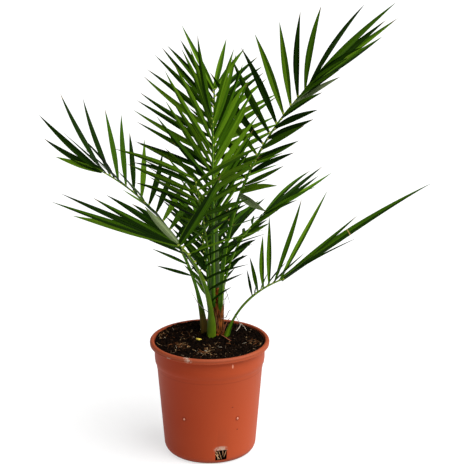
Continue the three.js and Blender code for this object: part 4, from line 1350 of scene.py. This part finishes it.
def rib_mesh(frond, curve):
    """The rib: channelled above and keeled below, broad and clasping at its foot. Its sides take
    the second material, a paler yellow-green that is partly painted highlight on its edges."""
    rings = []
    for i in range(RIB_STATIONS + 1):
        share = (i / RIB_STATIONS) ** 1.3
        point, _, right, up = station_on(frond, curve, share)
        width = rib_width(frond, share)
        depth = width * lerp(RIB_DEPTH_SHARE, UPPER_DEPTH_SHARE, min(1, share * 2))
        if frond["name"] == STOUT_STEM:
            width *= np.interp(share, *STOUTNESS)
        if i == 0:
            point, width, depth = rib_foot(frond, point, width, depth)
        channel = max(0, 1 - share / max(0.05, frond["bare"]))
        ring = []
        for x, y in SECTION:
            flat = y if y < 0.2 else lerp(0.35 + 0.65 * (1 - abs(x)), y, channel)
            ring.append(point + right * x * width / 2 + up * flat * depth / 2)
        rings.append(ring)
    shape = bmesh.new()
    sweep(shape, rings)
    corners = np.array(rings)
    middles = (corners[:, LEFT_EDGE] + corners[:, RIGHT_EDGE]) / 2
    to_edge = (corners[:, RIGHT_EDGE] - corners[:, LEFT_EDGE]) / 2
    for face in shape.faces:
        offsets = np.array(face.calc_center_median()) - middles
        nearest = np.linalg.norm(offsets, axis=1).argmin()
        sideways = offsets[nearest] @ to_edge[nearest] / (to_edge[nearest] @ to_edge[nearest])
        face.material_index = int(abs(sideways) > 0.7)
    return mesh_of(shape)


def rib_material(name, first, second):
    """A waxy stem, brown where it leaves the compost on the left."""
    material, tree, shader = new_material(name)
    place = object_place(tree)
    patches, specks = mottle(tree, place, patch_scale=45, speck_scale=800, low=0.35, high=0.65)
    green = blend_colours(tree, patches, first, second)
    old = multiply(tree, spot_mask(tree, place, OLD_FOOT, OLD_FOOT_SIZE), 0.85)
    colour = blend_colours(tree, old, green, RIB_BROWN)
    set_surface(tree, shader, colour, roughness=0.42, specular=0.1,
                normal=bump(tree, specks, strength=0.2, distance=0.0004))
    return material


def joints_mesh(leaflets, swell):
    """The swollen joints where leaflets meet the rib."""
    corners, faces = small_ball()
    copies = []
    for leaflet in leaflets:
        if leaflet["fan"]:
            continue
        directions = blade_frame(leaflet)
        centre = leaflet["station"][0] + directions[0] * JOINT_REACH
        size = leaflet["width"] * swell
        axes = np.array([way * size * share for way, share in zip(directions, JOINT_SHAPE)])
        copies.append((corners @ axes + centre, faces))
    return joined_copies(copies)


def make_fronds():
    middle = rib_material("leaf_rib", RIB_GREEN, (0.045, 0.120, 0.003, 1))
    # The rib's paler sides: yellow-green that is partly painted highlight on the edges; the stout stem takes
    # it all over.
    edge = rib_material("leaf_rib_edge_and_highlight", (0.070, 0.150, 0.004, 1), RIB_YELLOW)
    knuckle = compost_material("leaf_joint", *JOINT_COLOURS, 200, 0.45)
    for frond, curve, leaflets in grow_crown():
        name = frond["name"]
        stout = name == STOUT_STEM
        blades = show_piece(name + "_leaflets", blades_mesh(frond, leaflets), leaf_materials,
                            sharp_degrees=24)
        rib = show_piece(name + "_rib", rib_mesh(frond, curve), [edge if stout else middle, edge],
                         sharp_degrees=40)
        joints = show_piece(name + "_joints", joints_mesh(leaflets, STOUT_JOINTS if stout else 1),
                            [knuckle], sharp_degrees=60)
        for piece in (blades, rib, joints):
            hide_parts(name)


make_fronds()

# New leaf: the youngest frond, still folded into a slim spear. It stands in the middle of the crown
# on the trunk's upper end, and its pleats run from foot to tip.
SPEAR_SINK = 0.002
SPEAR_RINGS = 26
SPEAR_PLEATS = 6
PLEAT_DEPTH = 0.78
SPEAR_GREEN = (0.028, 0.080, 0.003, 1)
SPEAR_YELLOW = (0.065, 0.120, 0.007, 1)


def spear_leaf():
    """The pleated spear: it thins towards its tip and leans a little."""
    foot = np.array([*trunk_axis(TRUNK_TOP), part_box("spear")[0].z - SPEAR_SINK])
    sides = SPEAR_PLEATS * 2
    rings = []
    for i in range(SPEAR_RINGS + 1):
        share = i / SPEAR_RINGS
        middle = Vector(foot + np.array([*SPEAR_LEAN, SPEAR_LENGTH]) * share)
        thin = max(0.04, 1 - 0.85 * share ** 1.2 - 0.13 * share)
        ring = []
        for k in range(sides):
            turn = math.tau * k / sides
            half = thin / 2 * (1 if k % 2 == 0 else PLEAT_DEPTH)
            across = math.cos(turn) * SPEAR_WIDTH * half
            through = math.sin(turn) * SPEAR_DEPTH * half
            ring.append(middle + Vector((across, through, 0)))
        rings.append(ring)
    shape = bmesh.new()
    sweep(shape, rings)
    return mesh_of(shape)


def make_spear():
    material, tree, shader = new_material("spear_leaf")
    drawn = add_node(tree, "ShaderNodeMapping", {"Vector": object_place(tree), "Scale": (1, 1, 0.1)})
    streaks, fine = mottle(tree, drawn.outputs["Vector"], patch_scale=160, speck_scale=900)
    colour = blend_colours(tree, streaks, SPEAR_GREEN, SPEAR_YELLOW)
    set_surface(tree, shader, colour, roughness=0.45, specular=0.5,
                normal=bump(tree, fine, strength=0.3, distance=0.0005))
    piece = show_piece("spear_leaf", spear_leaf(), [material], sharp_degrees=30)
    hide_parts("spear")


make_spear()

# Studio: a white floor that runs out of sight, one large soft light high on the right and pale air
# all round. The camera is that of the photograph, which looks down a little with a long lens.
FLOOR_SIZE = 60
FLOOR_COLOUR = (0.32, 0.32, 0.32, 1)
FLOOR_GLOW = 0.70
AIR_STRENGTH = 0.12
KEY_STRENGTH = 5.6
KEY_SOFTNESS = 65
KEY_HEADING = 68
KEY_HEIGHT = 55
CAMERA_PLACE = (0.0355, -1.9244, 0.9061)
CAMERA_PITCH = 15.8
LENS_MM = 100
SENSOR_MM = 36


def make_floor():
    shape = bmesh.new()
    bmesh.ops.create_grid(shape, x_segments=1, y_segments=1, size=FLOOR_SIZE / 2)
    material, _, shader = new_material("studio_floor")
    shader.inputs["Base Color"].default_value = FLOOR_COLOUR
    shader.inputs["Roughness"].default_value = 1
    shader.inputs["Specular IOR Level"].default_value = 0
    shader.inputs["Emission Color"].default_value = (1, 1, 1, 1)
    shader.inputs["Emission Strength"].default_value = FLOOR_GLOW
    mesh = mesh_of(shape)
    mesh.name = "studio_floor"
    mesh.materials.append(material)
    floor = bpy.data.objects.new("studio_floor", mesh)
    bpy.context.scene.collection.objects.link(floor)


def make_studio():
    make_floor()
    lamp = bpy.data.lights.new("key_light", "SUN")
    lamp.energy = KEY_STRENGTH
    lamp.angle = math.radians(KEY_SOFTNESS)
    light = bpy.data.objects.new("key_light", lamp)
    light.rotation_euler = (math.radians(90 - KEY_HEIGHT), 0, math.radians(KEY_HEADING))
    bpy.context.scene.collection.objects.link(light)
    world = bpy.data.worlds.new("studio_air")
    world.use_nodes = True
    world.node_tree.nodes["Background"].inputs["Color"].default_value = (1, 1, 1, 1)
    world.node_tree.nodes["Background"].inputs["Strength"].default_value = AIR_STRENGTH
    bpy.context.scene.world = world
    bpy.context.scene.view_settings.view_transform = "Standard"
    view = bpy.data.cameras.new("photo_camera")
    view.lens = LENS_MM
    view.sensor_width = SENSOR_MM
    camera = bpy.data.objects.new("photo_camera", view)
    camera.location = CAMERA_PLACE
    camera.rotation_euler = (math.radians(90 - CAMERA_PITCH), 0, 0)
    bpy.context.scene.collection.objects.link(camera)
    bpy.context.scene.camera = camera


make_studio()

bpy.context.view_layer.update()
